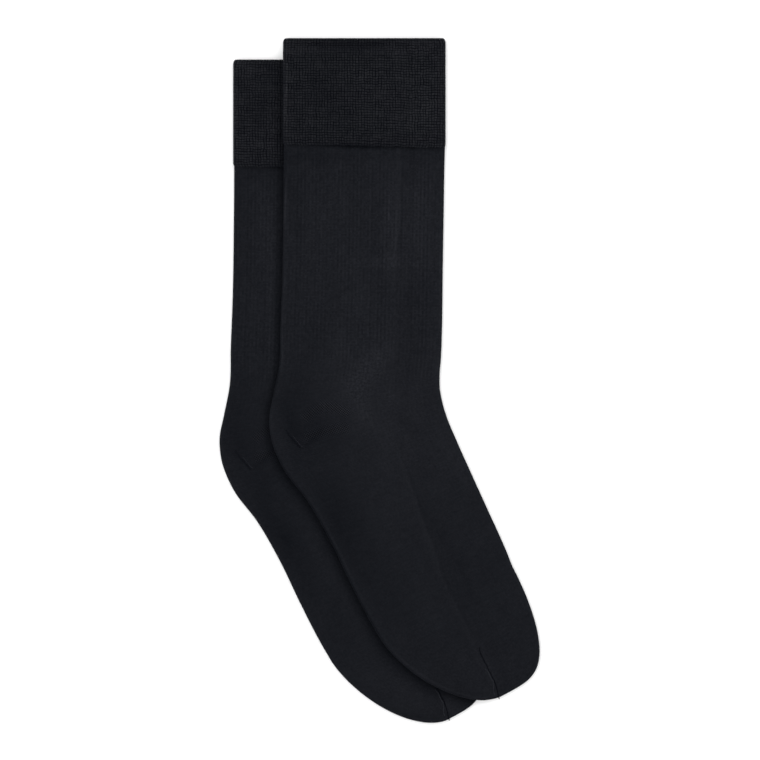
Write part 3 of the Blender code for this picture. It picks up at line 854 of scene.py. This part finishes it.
def wale_relief(shares, inward, settings, chance):
    """Height of the wales at points across the body, which has two points to each wale."""
    column = (shares + 1) / 2 * WALES
    number = np.clip(np.floor(column).astype(int), 0, WALES - 1)
    crest = 0.5 - 0.5 * np.cos(2 * math.pi * column)
    single = 1.0 + settings.unevenness * chance.uniform(-1.0, 1.0, WALES)
    paired = np.where(number % 2 == 0, 1.0, SECOND_WALE)
    height = settings.wale_height / MM * crest * paired * single[number]
    return height * ramp(inward / WALE_FADE)


def leg_share(place):
    """1 on the leg and 0 on the foot: how clearly the wales show."""
    return 1.0 - ramp((-place[:, 1] - LEG_END) / LEG_FADE)


def smooth_top(sock, place, inward):
    """Height of the body's top over its middle, without its knit and its seams."""
    above, _ = fold_swell(sock, place, inward)
    height = (WALL + SLIT / 2 + above) * round_off(inward, RIM)
    height += mounds(place, CREASES[sock]) * ramp(inward / FADE)
    return height + pressed_bead(sock, place, inward)


def body_top(sock, grid, shares, settings):
    """Points of the body's top, and the values its knit's material reads."""
    chance = np.random.default_rng(settings.seed + SOCKS.index(sock))
    place = flat(grid)
    inward = nearest_on_line(place, side_line(sock))[0]
    height = smooth_top(sock, place, inward)
    height += wale_relief(np.tile(shares, len(grid)), inward, settings, chance)
    seam = seam_nearness(place, SEAM_LINES, SEAM_REACH)
    bands = seam_nearness(place, HEEL_BANDS, BAND_REACH)
    gore = seam_nearness(place, (HEEL_GORE,), GORE_REACH)
    height -= settings.seam_depth / MM * (seam * ramp(inward) + GORE_DEPTH * gore)
    to_hem = -place[:, 1] - smooth_table(HEMS, "down", place[:, 0])
    height -= smooth_table(HEMS, "stand", place[:, 0]) * hump(to_hem, 0.0, STAND_BELOW)
    middle, share = body_middle(sock, place)
    patches = mounds(place, PATCHES[sock])
    # tone: the soft patches, with painted highlight and shade along the folds, a painted highlight on the
    # pressed bead, and painted shade in the seam and gore hollows and round the hem
    tone = 1.0 + patches + fold_painted_light(sock, place, inward)
    tone += BEAD_HIGHLIGHT * pressed_bead(sock, place, inward)
    tone *= (1.0 - SEAM_SHADE * seam) * (1.0 - GORE_SHADE * gore) * hem_shade(place, to_hem)
    # the palest patches, pale nap with painted highlight, crinkle the knit's texture
    worn = np.clip(patches - PALE_LIT_FROM, 0.0, PALE_LIT_MOST)
    values = {"tone": tone, "open_knit": bands, "leg_knit": leg_share(place), "worn": worn}
    return np.column_stack((place, middle + height * share)), values


def plain_values(points, sock):
    """Values of the soft patches alone, uneven nap with painted light and shade, for a body's underside and
    inner skin.
    """
    tone = 1.0 + mounds(points[:, :2], PATCHES[sock])
    none = np.zeros(len(points))
    return {"tone": tone, "open_knit": none, "leg_knit": leg_share(points), "worn": none}


def smooth_back(sock, place, inward):
    """Depth of the body's underside below its middle, flat where it rests."""
    _, below = fold_swell(sock, place, inward)
    height = (WALL + SLIT / 2 + below) * round_off(inward, RIM)
    return height + mounds(place, BACK_CREASES) * ramp(inward / FADE)


def body_back(sock, grid):
    """Points of the body's underside."""
    place = flat(grid)
    inward = nearest_on_line(place, side_line(sock))[0]
    middle, share = body_middle(sock, place)
    return np.column_stack((place, middle - smooth_back(sock, place, inward) * share))


def body_inside(sock, grid, way):
    """Points of the upper half of the body's inner skin, or of the lower half."""
    place = flat(grid)
    inward = nearest_on_line(place, side_line(sock, EDGE_WALL))[0]
    half = SLIT / 2 * round_off(inward, INNER_RIM)
    middle, share = body_middle(sock, place)
    if sock == UNDER:
        middle = middle - INNER_SINK * sink(place) * round_off(inward, FADE)
    return np.column_stack((place, middle + way * half * share))


def knit_places(shares, rows, across):
    """Wale and course of each point of a grid, as the material's coordinates."""
    return flat(np.stack(np.meshgrid((shares + 1) / 2 * across, rows), axis=2))


def make_body(sock, settings, material):
    """Leg, heel pocket, foot and toe of one sock: an outer and an inner skin, joined at the hem."""
    leg, toe = body_ways(sock)
    sparse = leg[INNER_EVERY:-INNER_EVERY // 2:INNER_EVERY]
    inner_leg = np.concatenate((leg[:INNER_HEM], sparse, leg[-1:]))
    inner_toe = np.linspace(0.0, 1.0, INNER_TOE + 1)[1:]
    shares = skin_shares(SECTIONS[0].width, 2 * WALES)
    top_shares, back_shares, inner_shares = shares

    top = body_grid(sock, 0.0, leg, toe, top_shares)
    back = body_grid(sock, 0.0, leg, toe[:-1], back_shares)[:, 1:-1]
    upper = body_grid(sock, EDGE_WALL, inner_leg, inner_toe, inner_shares)
    lower = upper[:-1, 1:-1]
    top_points, values = body_top(sock, top, top_shares, settings)
    others = np.concatenate((
        body_back(sock, back), body_inside(sock, upper, 1.0), body_inside(sock, lower, -1.0)))
    plain = plain_values(others, sock)
    values = {name: np.concatenate((value, plain[name])) for name, value in values.items()}

    steps = np.concatenate((leg, leg[-1] + toe * TOE_LENGTH)) / COURSE
    inner_steps = np.concatenate((inner_leg, inner_leg[-1] + inner_toe * TOE_LENGTH)) / COURSE
    places = np.concatenate((
        knit_places(top_shares, steps, WALES),
        knit_places(back_shares[1:-1], steps[:-1], WALES),
        knit_places(inner_shares, inner_steps, WALES),
        knit_places(inner_shares[1:-1], inner_steps[:-1], WALES)))

    top, back, upper, lower = numbered(grid.shape[:2] for grid in (top, back, upper, lower))
    back = with_sides(back, top[:len(back)])
    lower = np.concatenate((with_sides(lower, upper[:-1]), upper[-1:]))
    faces = grid_faces(top, up=True) + grid_faces(back, up=False)
    faces += zip_faces(back[-1], back_shares, top[-1], top_shares, turned=False)
    inner_faces = grid_faces(upper, up=False) + grid_faces(lower, up=True)
    faces += split_at(inner_faces, (upper[-1, 0], upper[-1, -1]))
    faces += rim_faces((top, back, upper, lower), shares, 0, turned=False)
    points = np.concatenate((top_points, others))
    return make_piece(sock + "_body_knit", points, faces, sock, material, places, values)


# ---- cuff

def rib_relief(ribs, courses, settings, chance):
    """Height of the mock rib: rows of small cushions, two ways uneven."""
    uneven = settings.unevenness
    across = 0.5 - 0.5 * np.cos(2 * math.pi * ribs)
    along = 0.5 - 0.5 * np.cos(2 * math.pi * courses)
    rib = np.clip(np.floor(ribs).astype(int), 0, CUFF_RIBS - 1)
    course = np.clip(np.floor(courses).astype(int), 0, CUFF_COURSES - 1)
    by_rib = 1.0 + uneven * chance.uniform(-1.0, 1.0, CUFF_RIBS)
    by_course = 1.0 + uneven * chance.uniform(-1.0, 1.0, CUFF_COURSES)
    by_stitch = 1.0 + uneven * chance.uniform(-1.0, 1.0, (CUFF_RIBS, CUFF_COURSES))
    rise = settings.rib_height / MM * across * by_rib[rib] * by_stitch[rib, course]
    cut = settings.rib_course / MM * (1.0 - along) * by_course[course]
    return rise - cut * (CUT_SHARE + (1.0 - CUT_SHARE) * across)


CuffSkin = namedtuple("CuffSkin", "shares ways over outside")


def cuff_skin(sock, skin, settings):
    """Points of one skin of a cuff: its top or its underside, outside or inside."""
    to_hem = (1.0 - skin.ways) * CUFF_HEIGHT
    near_end = np.minimum(skin.ways * CUFF_HEIGHT, to_hem)
    lip = 1.0 - ramp((to_hem - LIP) / LIP_START)
    wall = CUFF_WALL * (1.0 - lip) + LIP_SIDE * lip
    inset = np.zeros(len(skin.ways)) if skin.outside else wall
    ease = CUFF_EASE * (1.0 - round_off(near_end, EASE_REACH))
    across = skin.shares * (CUFF_WIDTH / 2 - inset - ease)[:, None]
    hem = smooth_table(HEMS, "down", across)
    grid = np.stack((across, -hem * skin.ways[:, None]), axis=2)
    place = flat(grid)

    def each(values):
        """A value for each row as one for each point."""
        return np.repeat(values, len(skin.shares))

    to_hem, near_end, lip = each(to_hem), each(near_end), each(lip if skin.over else 0.0 * lip)
    half_width = each(CUFF_WIDTH / 2 - inset - ease)
    inward = (1.0 - np.abs(np.tile(skin.shares, len(skin.ways)))) * half_width
    above, below = fold_swell(sock, place, inward)
    outer = CUFF_WALL + SLIT / 2 - CUFF_DROP * (1.0 - round_off(near_end, EASE_REACH))
    inner = SLIT / 2 * (1.0 - lip) + LIP_ROOM * lip
    half_wall = (outer - inner) / 2
    turned = half_wall * (1.0 - round_off(near_end, TURN_REACH * (1.0 - lip) + LIP_TURN * lip))
    if skin.outside:
        height = (outer - turned + (above if skin.over else below)) * round_off(inward, RIM)
    else:
        height = (inner + turned) * round_off(inward, INNER_RIM)
    if skin.over:
        height += smooth_table(HEMS, "stand", place[:, 0]) * hump(to_hem, 0.0, STAND_ABOVE)
    tone = np.ones(len(place))
    if skin.outside and skin.over:
        chance = np.random.default_rng(settings.seed + CUFF_SEED + SOCKS.index(sock))
        ribs = (np.tile(skin.shares, len(skin.ways)) + 1) / 2 * CUFF_RIBS
        relief = rib_relief(ribs, each(skin.ways) * CUFF_COURSES, settings, chance)
        height += relief * ramp(inward / RIB_FADE) * ramp(near_end / TURN_REACH)
        height += pressed_bead(sock, place, inward)
        # the cuff's tone: soft patches, with painted light and shade along the folds and painted shade
        # round the hem
        tone += mounds(place, CUFF_PATCHES[sock]) + fold_painted_light(sock, place, inward)
        tone *= hem_shade(place, to_hem)
    middle = lift(sock, place) + CUFF_WALL + SLIT / 2
    if sock == UNDER and not skin.outside:
        middle = middle - INNER_SINK * sink(place) * round_off(inward, FADE)
    points = np.column_stack((place, middle + (height if skin.over else -height)))
    return points, knit_places(skin.shares, skin.ways * CUFF_COURSES, CUFF_RIBS), tone


def make_cuff(sock, settings, material):
    """Turned cuff of one sock: ribbed outside, plain inside, folded at its mouth and its hem."""
    shares = skin_shares(CUFF_WIDTH, CUFF_RIBS * RIB_STEPS)
    top_shares, back_shares, inner_shares = shares
    ends = np.array(END_STEPS) / CUFF_HEIGHT
    downs = np.linspace(0.0, 1.0, CUFF_COURSES * RIB_STEPS + 1)[3:-3]
    downs = np.concatenate((ends, downs, 1.0 - ends[::-1]))
    lip_rows = 1.0 - (LIP + np.array(LIP_STEPS)) / CUFF_HEIGHT
    inner_downs = np.concatenate((ends, np.linspace(*CUFF_INNER), lip_rows, 1.0 - ends[::-1]))
    skins = (
        CuffSkin(top_shares, downs, over=True, outside=True),
        CuffSkin(back_shares[1:-1], downs, over=False, outside=True),
        CuffSkin(inner_shares, inner_downs, over=True, outside=False),
        CuffSkin(inner_shares[1:-1], inner_downs, over=False, outside=False))
    parts = [cuff_skin(sock, skin, settings) for skin in skins]
    points, places, tones = (np.concatenate(values) for values in zip(*parts))
    top, back, upper, lower = numbered((len(skin.ways), len(skin.shares)) for skin in skins)
    back = with_sides(back, top)
    lower = with_sides(lower, upper)
    faces = grid_faces(top, up=True) + grid_faces(back, up=False)
    faces += grid_faces(upper, up=False) + grid_faces(lower, up=True)
    for end, turned in ((0, False), (-1, True)):
        faces += rim_faces((top, back, upper, lower), shares, end, turned)
    return make_piece(sock + "_cuff_knit", points, faces, sock, material, places, {"tone": tones})


# ---- seams

def loop_shape(length, width, height):
    """Points and faces of one small plump loop along +X, centred on the origin."""
    turn = np.linspace(0.0, 2 * math.pi, STITCH_ROUND, endpoint=False)
    points = [(-length / 2, 0.0, 0.0)]
    for along, size in LOOP_RINGS:
        points += [
            (along * length, math.cos(angle) * size * width / 2, math.sin(angle) * size * height / 2)
            for angle in turn]
    points.append((length / 2, 0.0, 0.0))
    rings = np.arange(1, len(points) - 1).reshape(len(LOOP_RINGS), STITCH_ROUND)
    faces = []
    for one, two in zip(rings.T.tolist(), np.roll(rings, -1, axis=1).T.tolist()):
        faces.append((0, two[0], one[0]))
        faces += [(one[ring], two[ring], two[ring + 1], one[ring + 1]) for ring in (0, 1)]
        faces.append((len(points) - 1, one[2], two[2]))
    return np.array(points), faces


def headings(line, ways):
    """Direction of a line at distances along it, as an angle."""
    ahead = points_along(line, ways + HEADING_REACH) - points_along(line, ways - HEADING_REACH)
    return np.arctan2(ahead[:, 1], ahead[:, 0])


def make_loops(line, ways, heights, shape, chance):
    """One plump loop at each place along a line, nearly in line with it."""
    base, faces = shape
    spots = points_along(line, ways)
    heading = headings(line, ways)
    all_points, all_faces = [], []
    for number, centre in enumerate(spots):
        angle = heading[number] + math.radians(chance.uniform(-LOOP_TILT, LOOP_TILT))
        turned = base * chance.uniform(*LOOP_SPREAD)
        across = turned[:, 0] * math.cos(angle) - turned[:, 1] * math.sin(angle)
        up = turned[:, 0] * math.sin(angle) + turned[:, 1] * math.cos(angle)
        block = np.column_stack((across + centre[0], up + centre[1], turned[:, 2] + heights[number]))
        start = number * len(base)
        all_points.append(block)
        all_faces += [tuple(start + corner for corner in face) for face in faces]
    return np.concatenate(all_points), all_faces


def make_cord(line, ways, heights, chance):
    """A thin cord along a line, closed at both ends, a little uneven in width."""
    centres = points_along(line, ways)
    heading = headings(line, ways) + math.pi / 2
    turn = np.linspace(0.0, 2 * math.pi, STITCH_ROUND, endpoint=False)
    size = CORD_WIDTH / 2 * chance.uniform(*CORD_SPREAD, len(ways))
    size[[0, -1]] *= CORD_END
    aside = size[:, None] * np.cos(turn)
    points = np.stack((
        centres[:, 0, None] + aside * np.cos(heading)[:, None],
        centres[:, 1, None] + aside * np.sin(heading)[:, None],
        heights[:, None] + CORD_FLAT * size[:, None] * np.sin(turn)), axis=2)
    numbers = np.arange(len(ways) * STITCH_ROUND).reshape(len(ways), STITCH_ROUND)
    numbers = np.column_stack((numbers, numbers[:, 0]))
    faces = grid_faces(numbers, up=False)
    faces += [numbers[0, :-1][::-1].tolist(), numbers[-1, :-1].tolist()]
    return flat(points), faces


def cloth_face(sock, points, over):
    """Height of the body's top or underside at points in the sock's own frame."""
    inward = nearest_on_line(points, side_line(sock))[0]
    middle, share = body_middle(sock, points)
    if over:
        return middle + smooth_top(sock, points, inward) * share
    return middle - smooth_back(sock, points, inward) * share


def make_seam(sock, seam, settings, material):
    """A cord in its groove and raised loops beside it, on both faces of the body."""
    chance = np.random.default_rng(settings.seed + len(seam.name))
    pitch = settings.stitch / MM
    shape = loop_shape(*(pitch * size for size in LOOP_SIZE))
    cord_line, loop_line = seam_lines((seam.cord, seam.loops))
    ways = np.arange(CORD_START, line_ways(cord_line)[-1] - CORD_STOP, pitch / 2)
    picked = np.arange(pitch / 2, line_ways(loop_line)[-1], pitch)
    points, faces, tones = [], [], []
    count = 0
    for over, inward in ((True, -1.0), (False, 1.0)):
        depth = inward * settings.seam_depth / MM * CORD_DEPTHS[over]
        bed = cloth_face(sock, points_along(cord_line, ways), over) + depth
        beside = cloth_face(sock, points_along(loop_line, picked), over)
        beside += inward * LOOP_DEPTHS[over]
        cord = make_cord(cord_line, ways, bed, chance)
        loops = make_loops(loop_line, picked, beside, shape, chance)
        for (block, block_faces), tone in ((cord, seam.cord_tone), (loops, seam.loop_tone)):
            points.append(block)
            faces += [tuple(count + corner for corner in face) for face in block_faces]
            tones.append(np.full(len(block), tone))
            count += len(block)
    return make_piece(
        sock + seam.name, np.concatenate(points), faces, sock, material,
        values={"tone": np.concatenate(tones)})


# ---- materials

DEEPS = (-0.0007, -0.0002, 0.0009)  # what the yarn's colour turns towards as its shade falls
DARKEST = (0.0002, 0.0002, 0.0002)
KNIT_LOOK = (0.88, 0.05)  # roughness and specular level of the knit
THREAD_LOOK = (0.85, 0.02)  # and of the seams' thread
NAP_ROUGHNESS = 0.45
NAP_TINT = (0.72, 0.78, 1.0, 1.0)
CLOUD_ROUGHNESS = 0.55


class Value:
    """A value in a material's tree. Arithmetic on it adds Math nodes."""

    def __init__(self, tree, socket):
        self.tree = tree
        self.socket = socket

    def math(self, kind, second=0.0, third=0.0):
        """What a Math node makes of this value and up to two more."""
        return add(self.tree, "ShaderNodeMath", 0, {0: self, 1: second, 2: third}, operation=kind)

    def __add__(self, other):
        return self.math("ADD", other)

    def __sub__(self, other):
        return self.math("SUBTRACT", other)

    def __rsub__(self, other):
        return self.math("MULTIPLY_ADD", -1.0, other)

    def __mul__(self, other):
        return self.math("MULTIPLY", other)

    def __truediv__(self, other):
        return self.math("DIVIDE", other)

    def ramped(self, low, high, start=0.0, end=1.0):
        """Its range from low to high, as start to end, held outside it."""
        return add(self.tree, "ShaderNodeMapRange", "Result", {
            "Value": self, "From Min": low, "From Max": high, "To Min": start, "To Max": end})

    def wave(self, rate):
        """Sine of it, over this many half turns for each whole number."""
        return (self * (rate * math.pi)).math("SINE")


def add(tree, kind, output, inputs, **settings):
    """One output of a new node, which has these settings and its inputs set or linked."""
    node = tree.nodes.new(kind)
    for name, value in settings.items():
        setattr(node, name, value)
    for name, value in inputs.items():
        if isinstance(value, Value):
            tree.links.new(value.socket, node.inputs[name])
        else:
            node.inputs[name].default_value = value
    return Value(tree, node.outputs[output])


def product(*values):
    """Product of several values."""
    total = values[0]
    for value in values[1:]:
        total = total * value
    return total


def swing(value, spread):
    """A value from 0 to 1 as a factor that swings round 1 by a spread, a number or a value."""
    return value.math("MULTIPLY_ADD", 2.0, -1.0).math("MULTIPLY_ADD", spread, 1.0)


def chance_by(*values):
    """A random value from 0 to 1 for each whole number, or pair of them."""
    tree = values[0].tree
    whole = {place: value.math("FLOOR") for place, value in enumerate(values)}
    cell = add(tree, "ShaderNodeCombineXYZ", 0, whole)
    return add(tree, "ShaderNodeTexWhiteNoise", "Value", {"Vector": cell}, noise_dimensions="2D")


def cloudy(tree, size, detail, stretch=(1.0, 1.0, 1.0)):
    """Soft noise over the piece, with clouds about this many millimetres across."""
    place = add(tree, "ShaderNodeTexCoord", "Object", {})
    scaled = add(tree, "ShaderNodeMapping", 0, {"Vector": place, "Scale": stretch})
    return add(tree, "ShaderNodeTexNoise", "Fac", {
        "Vector": scaled, "Scale": 1.0 / (size * MM), "Detail": detail,
        "Roughness": CLOUD_ROUGHNESS})


def mottled(tree, size, detail, spread, stretch=(1.0, 1.0, 1.0)):
    """A factor that swings round 1 by a spread, in soft clouds."""
    return swing(cloudy(tree, size, detail, stretch).ramped(0.3, 0.7), spread)


def streaked(fine, drawn, length, spread):
    """A factor in streaks: fine along one coordinate, drawn out over this much of the other."""
    place = add(fine.tree, "ShaderNodeCombineXYZ", 0, {0: fine, 1: drawn / length})
    noise = add(fine.tree, "ShaderNodeTexNoise", "Fac", {
        "Vector": place, "Scale": 1.0, "Detail": 1.0, "Roughness": 0.5})
    return swing(noise.ramped(0.3, 0.7), spread)


def painted(tree, name):
    """A value that the mesh holds at each of its points."""
    return add(tree, "ShaderNodeAttribute", "Fac", {}, attribute_name=name)


def stitch_places(tree):
    """Column and row of the knit at each place of a piece."""
    place = add(tree, "ShaderNodeUVMap", "UV", {}, uv_map="knit")
    return [add(tree, "ShaderNodeSeparateXYZ", axis, {0: place}) for axis in ("X", "Y")]


def start_yarn(name, colour, look, nap):
    """A dull yarn's material, its tree and its shader."""
    material = bpy.data.materials.new(name)
    material.use_nodes = True
    material.diffuse_color = colour
    tree = material.node_tree
    shader = tree.nodes["Principled BSDF"]
    shader.inputs["Roughness"].default_value = look[0]
    shader.inputs["Specular IOR Level"].default_value = look[1]
    shader.inputs["Sheen Weight"].default_value = nap
    shader.inputs["Sheen Roughness"].default_value = NAP_ROUGHNESS
    shader.inputs["Sheen Tint"].default_value = NAP_TINT
    return material, tree, shader


def finish_yarn(tree, shader, colour, shade, height, depth):
    """Links the yarn's colour times its shade, bluer in its deeps, and the stitches' bump."""
    yarn = [part - deep for part, deep in zip(colour, DEEPS)]
    shaded = add(
        tree, "ShaderNodeVectorMath", 0, {0: yarn, 1: shade, 2: DEEPS}, operation="MULTIPLY_ADD")
    mixed = add(tree, "ShaderNodeVectorMath", 0, {0: shaded, 1: DARKEST}, operation="MAXIMUM")
    bump = add(tree, "ShaderNodeBump", 0, {
        "Strength": 0.8, "Distance": depth * MM, "Height": height})
    tree.links.new(mixed.socket, shader.inputs["Base Color"])
    tree.links.new(bump.socket, shader.inputs["Normal"])


def body_material(colours):
    """Plain knit of the leg and foot: fine stitches in paired wales, streaks and soft clouds, and
    open tuck stitches round the heel pocket."""
    material, tree, shader = start_yarn("body_knit", colours.body, KNIT_LOOK, colours.nap)
    wale, course = stitch_places(tree)
    aside = (wale.math("FRACT") - 0.5).math("ABSOLUTE")
    leaned = aside.math("MULTIPLY_ADD", 0.9, course)
    height = aside.wave(2.0).math("SQRT") * leaned.math("FRACT").wave(1.0).math("SQRT")
    leg = painted(tree, "leg_knit")

    def more_on_leg(foot, above):
        """A spread that grows from the foot to the leg."""
        return leg.math("MULTIPLY_ADD", above - foot, foot)

    crinkle = painted(tree, "worn").math("MULTIPLY_ADD", 0.7, more_on_leg(0.15, 0.05))
    checks = (wale.wave(1.55) * course.wave(1.25)).ramped(-0.35, 0.35, -1.0, 1.0)
    shade = product(
        painted(tree, "tone"),
        swing(chance_by(wale, leaned), more_on_leg(0.06, 0.20)),
        swing(chance_by(wale), more_on_leg(0.02, 0.06)),
        swing(chance_by(course), 0.03),
        streaked(wale, course, 8.0, more_on_leg(0.03, 0.11)),
        streaked(course, wale, 6.0, more_on_leg(0.10, 0.02)),
        wale.wave(1.0).math("MULTIPLY_ADD", more_on_leg(0.02, 0.10), 1.0),
        # painted shade between the stitches, lighter on their crests
        height.ramped(0.0, 0.8, 0.70, 1.12),
        checks.math("MULTIPLY_ADD", painted(tree, "open_knit") * 1.1, 1.0),
        mottled(tree, 0.5, 3.0, more_on_leg(0.06, 0.12)),
        mottled(tree, 1.2, 1.0, crinkle),
        mottled(tree, 14.0, 3.0, 0.07, (1.0, 0.55, 1.0)))
    finish_yarn(tree, shader, colours.body, shade, height, 0.22)
    return material


def cuff_material(colours):
    """Mock rib of the cuff: small cushions with painted shade in the grooves between, upright in some
    places and level in others."""
    material, tree, shader = start_yarn("cuff_knit", colours.cuff, KNIT_LOOK, colours.nap)
    rib, course = (
        value + cloudy(tree, 4.5, 1.0, stretch).ramped(0.25, 0.75, -0.25, 0.25)
        for value, stretch in zip(stitch_places(tree), ((0.9, 1.1, 1.0), (1.2, 0.8, 1.0))))

    def from_middle(value):
        """Distance from a rib's or a course's middle, in shares of it."""
        return (value.math("FRACT") - 0.5).math("ABSOLUTE")

    def cushion(value):
        """Height across a rib or a course, from 0 at its sides to 1."""
        return (from_middle(value) * math.pi).math("COSINE").math("SQRT")

    def groove(value, depth, *cell):
        """What the painted shade in the grooves between the ribs or the courses leaves of the shade."""
        between = from_middle(value).ramped(0.26, 0.44)
        return 1.0 - product(between, depth, swing(chance_by(*cell), 0.40))

    height = cushion(rib) * cushion(course)
    favour = cloudy(tree, 4.2, 1.0).ramped(0.38, 0.62)
    shade = product(
        painted(tree, "tone"),
        groove(rib, favour.ramped(0.0, 1.0, 0.44, 0.90), rib + 0.5, course / 3.0),
        groove(course, favour.ramped(0.0, 1.0, 1.0, 0.64), rib / 4.0, course + 0.5),
        swing(chance_by(rib, course), 0.20),
        swing(chance_by(rib), 0.03),
        swing(chance_by(course), 0.06),
        mottled(tree, 0.5, 3.0, 0.20),
        mottled(tree, 7.0, 2.0, 0.08))
    finish_yarn(tree, shader, colours.cuff, shade.math("MAXIMUM", 0.06), height, 0.2)
    return material


def thread_material(colours):
    """Linking thread of the seams: twisted strands, a little smoother than the knit."""
    material, tree, shader = start_yarn(
        "seam_thread", colours.thread, THREAD_LOOK, 0.4 * colours.nap)
    strands = cloudy(tree, 0.35, 2.0, (1.0, 2.2, 1.0))
    # the seam's tone: the cord darkened as painted shade of its groove, the loops lightened as painted
    # highlight
    shade = painted(tree, "tone") * strands.ramped(0.3, 0.7, 0.8, 1.2)
    finish_yarn(tree, shader, colours.thread, shade, strands, 0.1)
    return material


def the_material(name, make):
    """A material of the pair, made the first time that it is asked for."""
    found = bpy.data.materials.get(name)
    if found is None or not found.get("pair_of_socks"):
        if found is not None:
            found.name = name + "_solid"
        found = make(bpy.context.scene.sock_colours)
        found["pair_of_socks"] = True
    return found


# ---- operators


class SOCKS_OT_cuffs(Operator):
    """Knit the turned double cuffs of both socks"""

    bl_idname = "socks.cuffs"
    bl_label = "Cuffs"

    def execute(self, context):
        material = the_material("cuff_knit", cuff_material)
        for sock in SOCKS:
            piece = make_cuff(sock, context.scene.sock_knit, material)
            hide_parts(sock + "_cuff")
        return {"FINISHED"}


class SOCKS_OT_bodies(Operator):
    """Knit the leg, heel pocket, foot and toe of both socks"""

    bl_idname = "socks.bodies"
    bl_label = "Bodies"

    def execute(self, context):
        material = the_material("body_knit", body_material)
        for sock in SOCKS:
            piece = make_body(sock, context.scene.sock_knit, material)
            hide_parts(sock + "_body")
        return {"FINISHED"}


class SOCKS_OT_seams(Operator):
    """Sew the heel sutures and the toe seams of both socks"""

    bl_idname = "socks.seams"
    bl_label = "Seams"

    def execute(self, context):
        material = the_material("seam_thread", thread_material)
        knit = context.scene.sock_knit
        for sock in SOCKS:
            seams = [make_seam(sock, seam, knit, material) for seam in SEAMS]
            body_cloth(sock)
        return {"FINISHED"}


def body_cloth(sock):
    """Area of the knitted tube that a body is pressed from, both layers, in square metres."""
    line = side_line(sock)[1:-1] * MM
    x, y = line[:, 0], line[:, 1]
    layer = abs(np.dot(x, np.roll(y, -1)) - np.dot(y, np.roll(x, -1))) / 2
    return 2.0 * float(layer)


class SOCKS_OT_stage(Operator):
    """Set the pale floor, the soft light and the camera straight above"""

    bl_idname = "socks.stage"
    bl_label = "Stage"

    def execute(self, context):
        stage = context.scene.sock_stage
        make_floor(stage)
        make_lights(stage)
        make_camera(stage)
        return {"FINISHED"}


def make_floor(stage):
    """A wide pale floor just under the socks."""
    bpy.ops.object.select_all(action="DESELECT")
    bpy.ops.mesh.primitive_plane_add(size=FLOOR_SIZE, location=(0.0, 0.0, -FLOOR_DOWN))
    bpy.ops.object.transform_apply(location=True, rotation=True, scale=True)
    floor = bpy.context.object
    floor.name = "floor"
    material = bpy.data.materials.new("pale_floor")
    material.use_nodes = True
    shader = material.node_tree.nodes["Principled BSDF"]
    shader.inputs["Base Color"].default_value = stage.floor
    shader.inputs["Roughness"].default_value = 0.95
    shader.inputs["Specular IOR Level"].default_value = 0.1
    floor.data.materials.append(material)


def make_lights(stage):
    """Even light from all round, and one large soft lamp towards the cuffs, over the backs."""
    scene = bpy.context.scene
    scene.world = bpy.data.worlds.new("even_light")
    scene.world.use_nodes = True
    sky = scene.world.node_tree.nodes["Background"]
    sky.inputs["Color"].default_value = (1.0, 1.0, 1.0, 1.0)
    sky.inputs["Strength"].default_value = stage.dome
    bpy.ops.object.light_add(type="AREA", location=LAMP_PLACE)
    lamp = bpy.context.object
    lamp.name = "soft_lamp"
    lamp.data.size = LAMP_SIZE
    lamp.data.energy = stage.key
    aim = -lamp.location
    lamp.rotation_euler = aim.to_track_quat("-Z", "Y").to_euler()


def make_camera(stage):
    """A camera straight above the middle of the pair."""
    height = stage.frame_height * stage.lens / SENSOR
    bpy.ops.object.camera_add(location=(*CAMERA_PLACE, height), rotation=(0.0, 0.0, 0.0))
    camera = bpy.context.object
    camera.name = "camera_above"
    camera.data.lens = stage.lens
    camera.data.sensor_width = SENSOR
    camera.data.clip_end = 50.0
    bpy.context.scene.camera = camera
    bpy.context.scene.view_settings.view_transform = "Standard"


class SOCKS_PT_panel(Panel):
    """Sizes, colours and pieces of the pair of socks"""

    bl_idname = "SOCKS_PT_panel"
    bl_label = "Pair of Socks"
    bl_space_type = "VIEW_3D"
    bl_region_type = "UI"
    bl_category = "Socks"

    def draw(self, context):
        scene = context.scene
        for group in (scene.sock_knit, scene.sock_colours, scene.sock_stage):
            box = self.layout.box()
            for name in group.__annotations__:
                box.prop(group, name)
        for operator in (SOCKS_OT_cuffs, SOCKS_OT_bodies, SOCKS_OT_seams, SOCKS_OT_stage):
            self.layout.operator(operator.bl_idname)


CLASSES = (
    SockKnit, SockColours, SockStage, SOCKS_OT_cuffs, SOCKS_OT_bodies, SOCKS_OT_seams,
    SOCKS_OT_stage, SOCKS_PT_panel)


def register():
    """Registers the classes and hangs the settings on the scene."""
    for item in CLASSES:
        bpy.utils.register_class(item)
    bpy.types.Scene.sock_knit = PointerProperty(type=SockKnit)
    bpy.types.Scene.sock_colours = PointerProperty(type=SockColours)
    bpy.types.Scene.sock_stage = PointerProperty(type=SockStage)


def unregister():
    """Takes the settings and the classes away again."""
    del bpy.types.Scene.sock_stage
    del bpy.types.Scene.sock_colours
    del bpy.types.Scene.sock_knit
    for item in reversed(CLASSES):
        bpy.utils.unregister_class(item)


def main():
    register()
    bpy.ops.socks.stage()
    bpy.ops.socks.cuffs()
    bpy.ops.socks.bodies()
    bpy.ops.socks.seams()


if __name__ == "__main__":
    main()
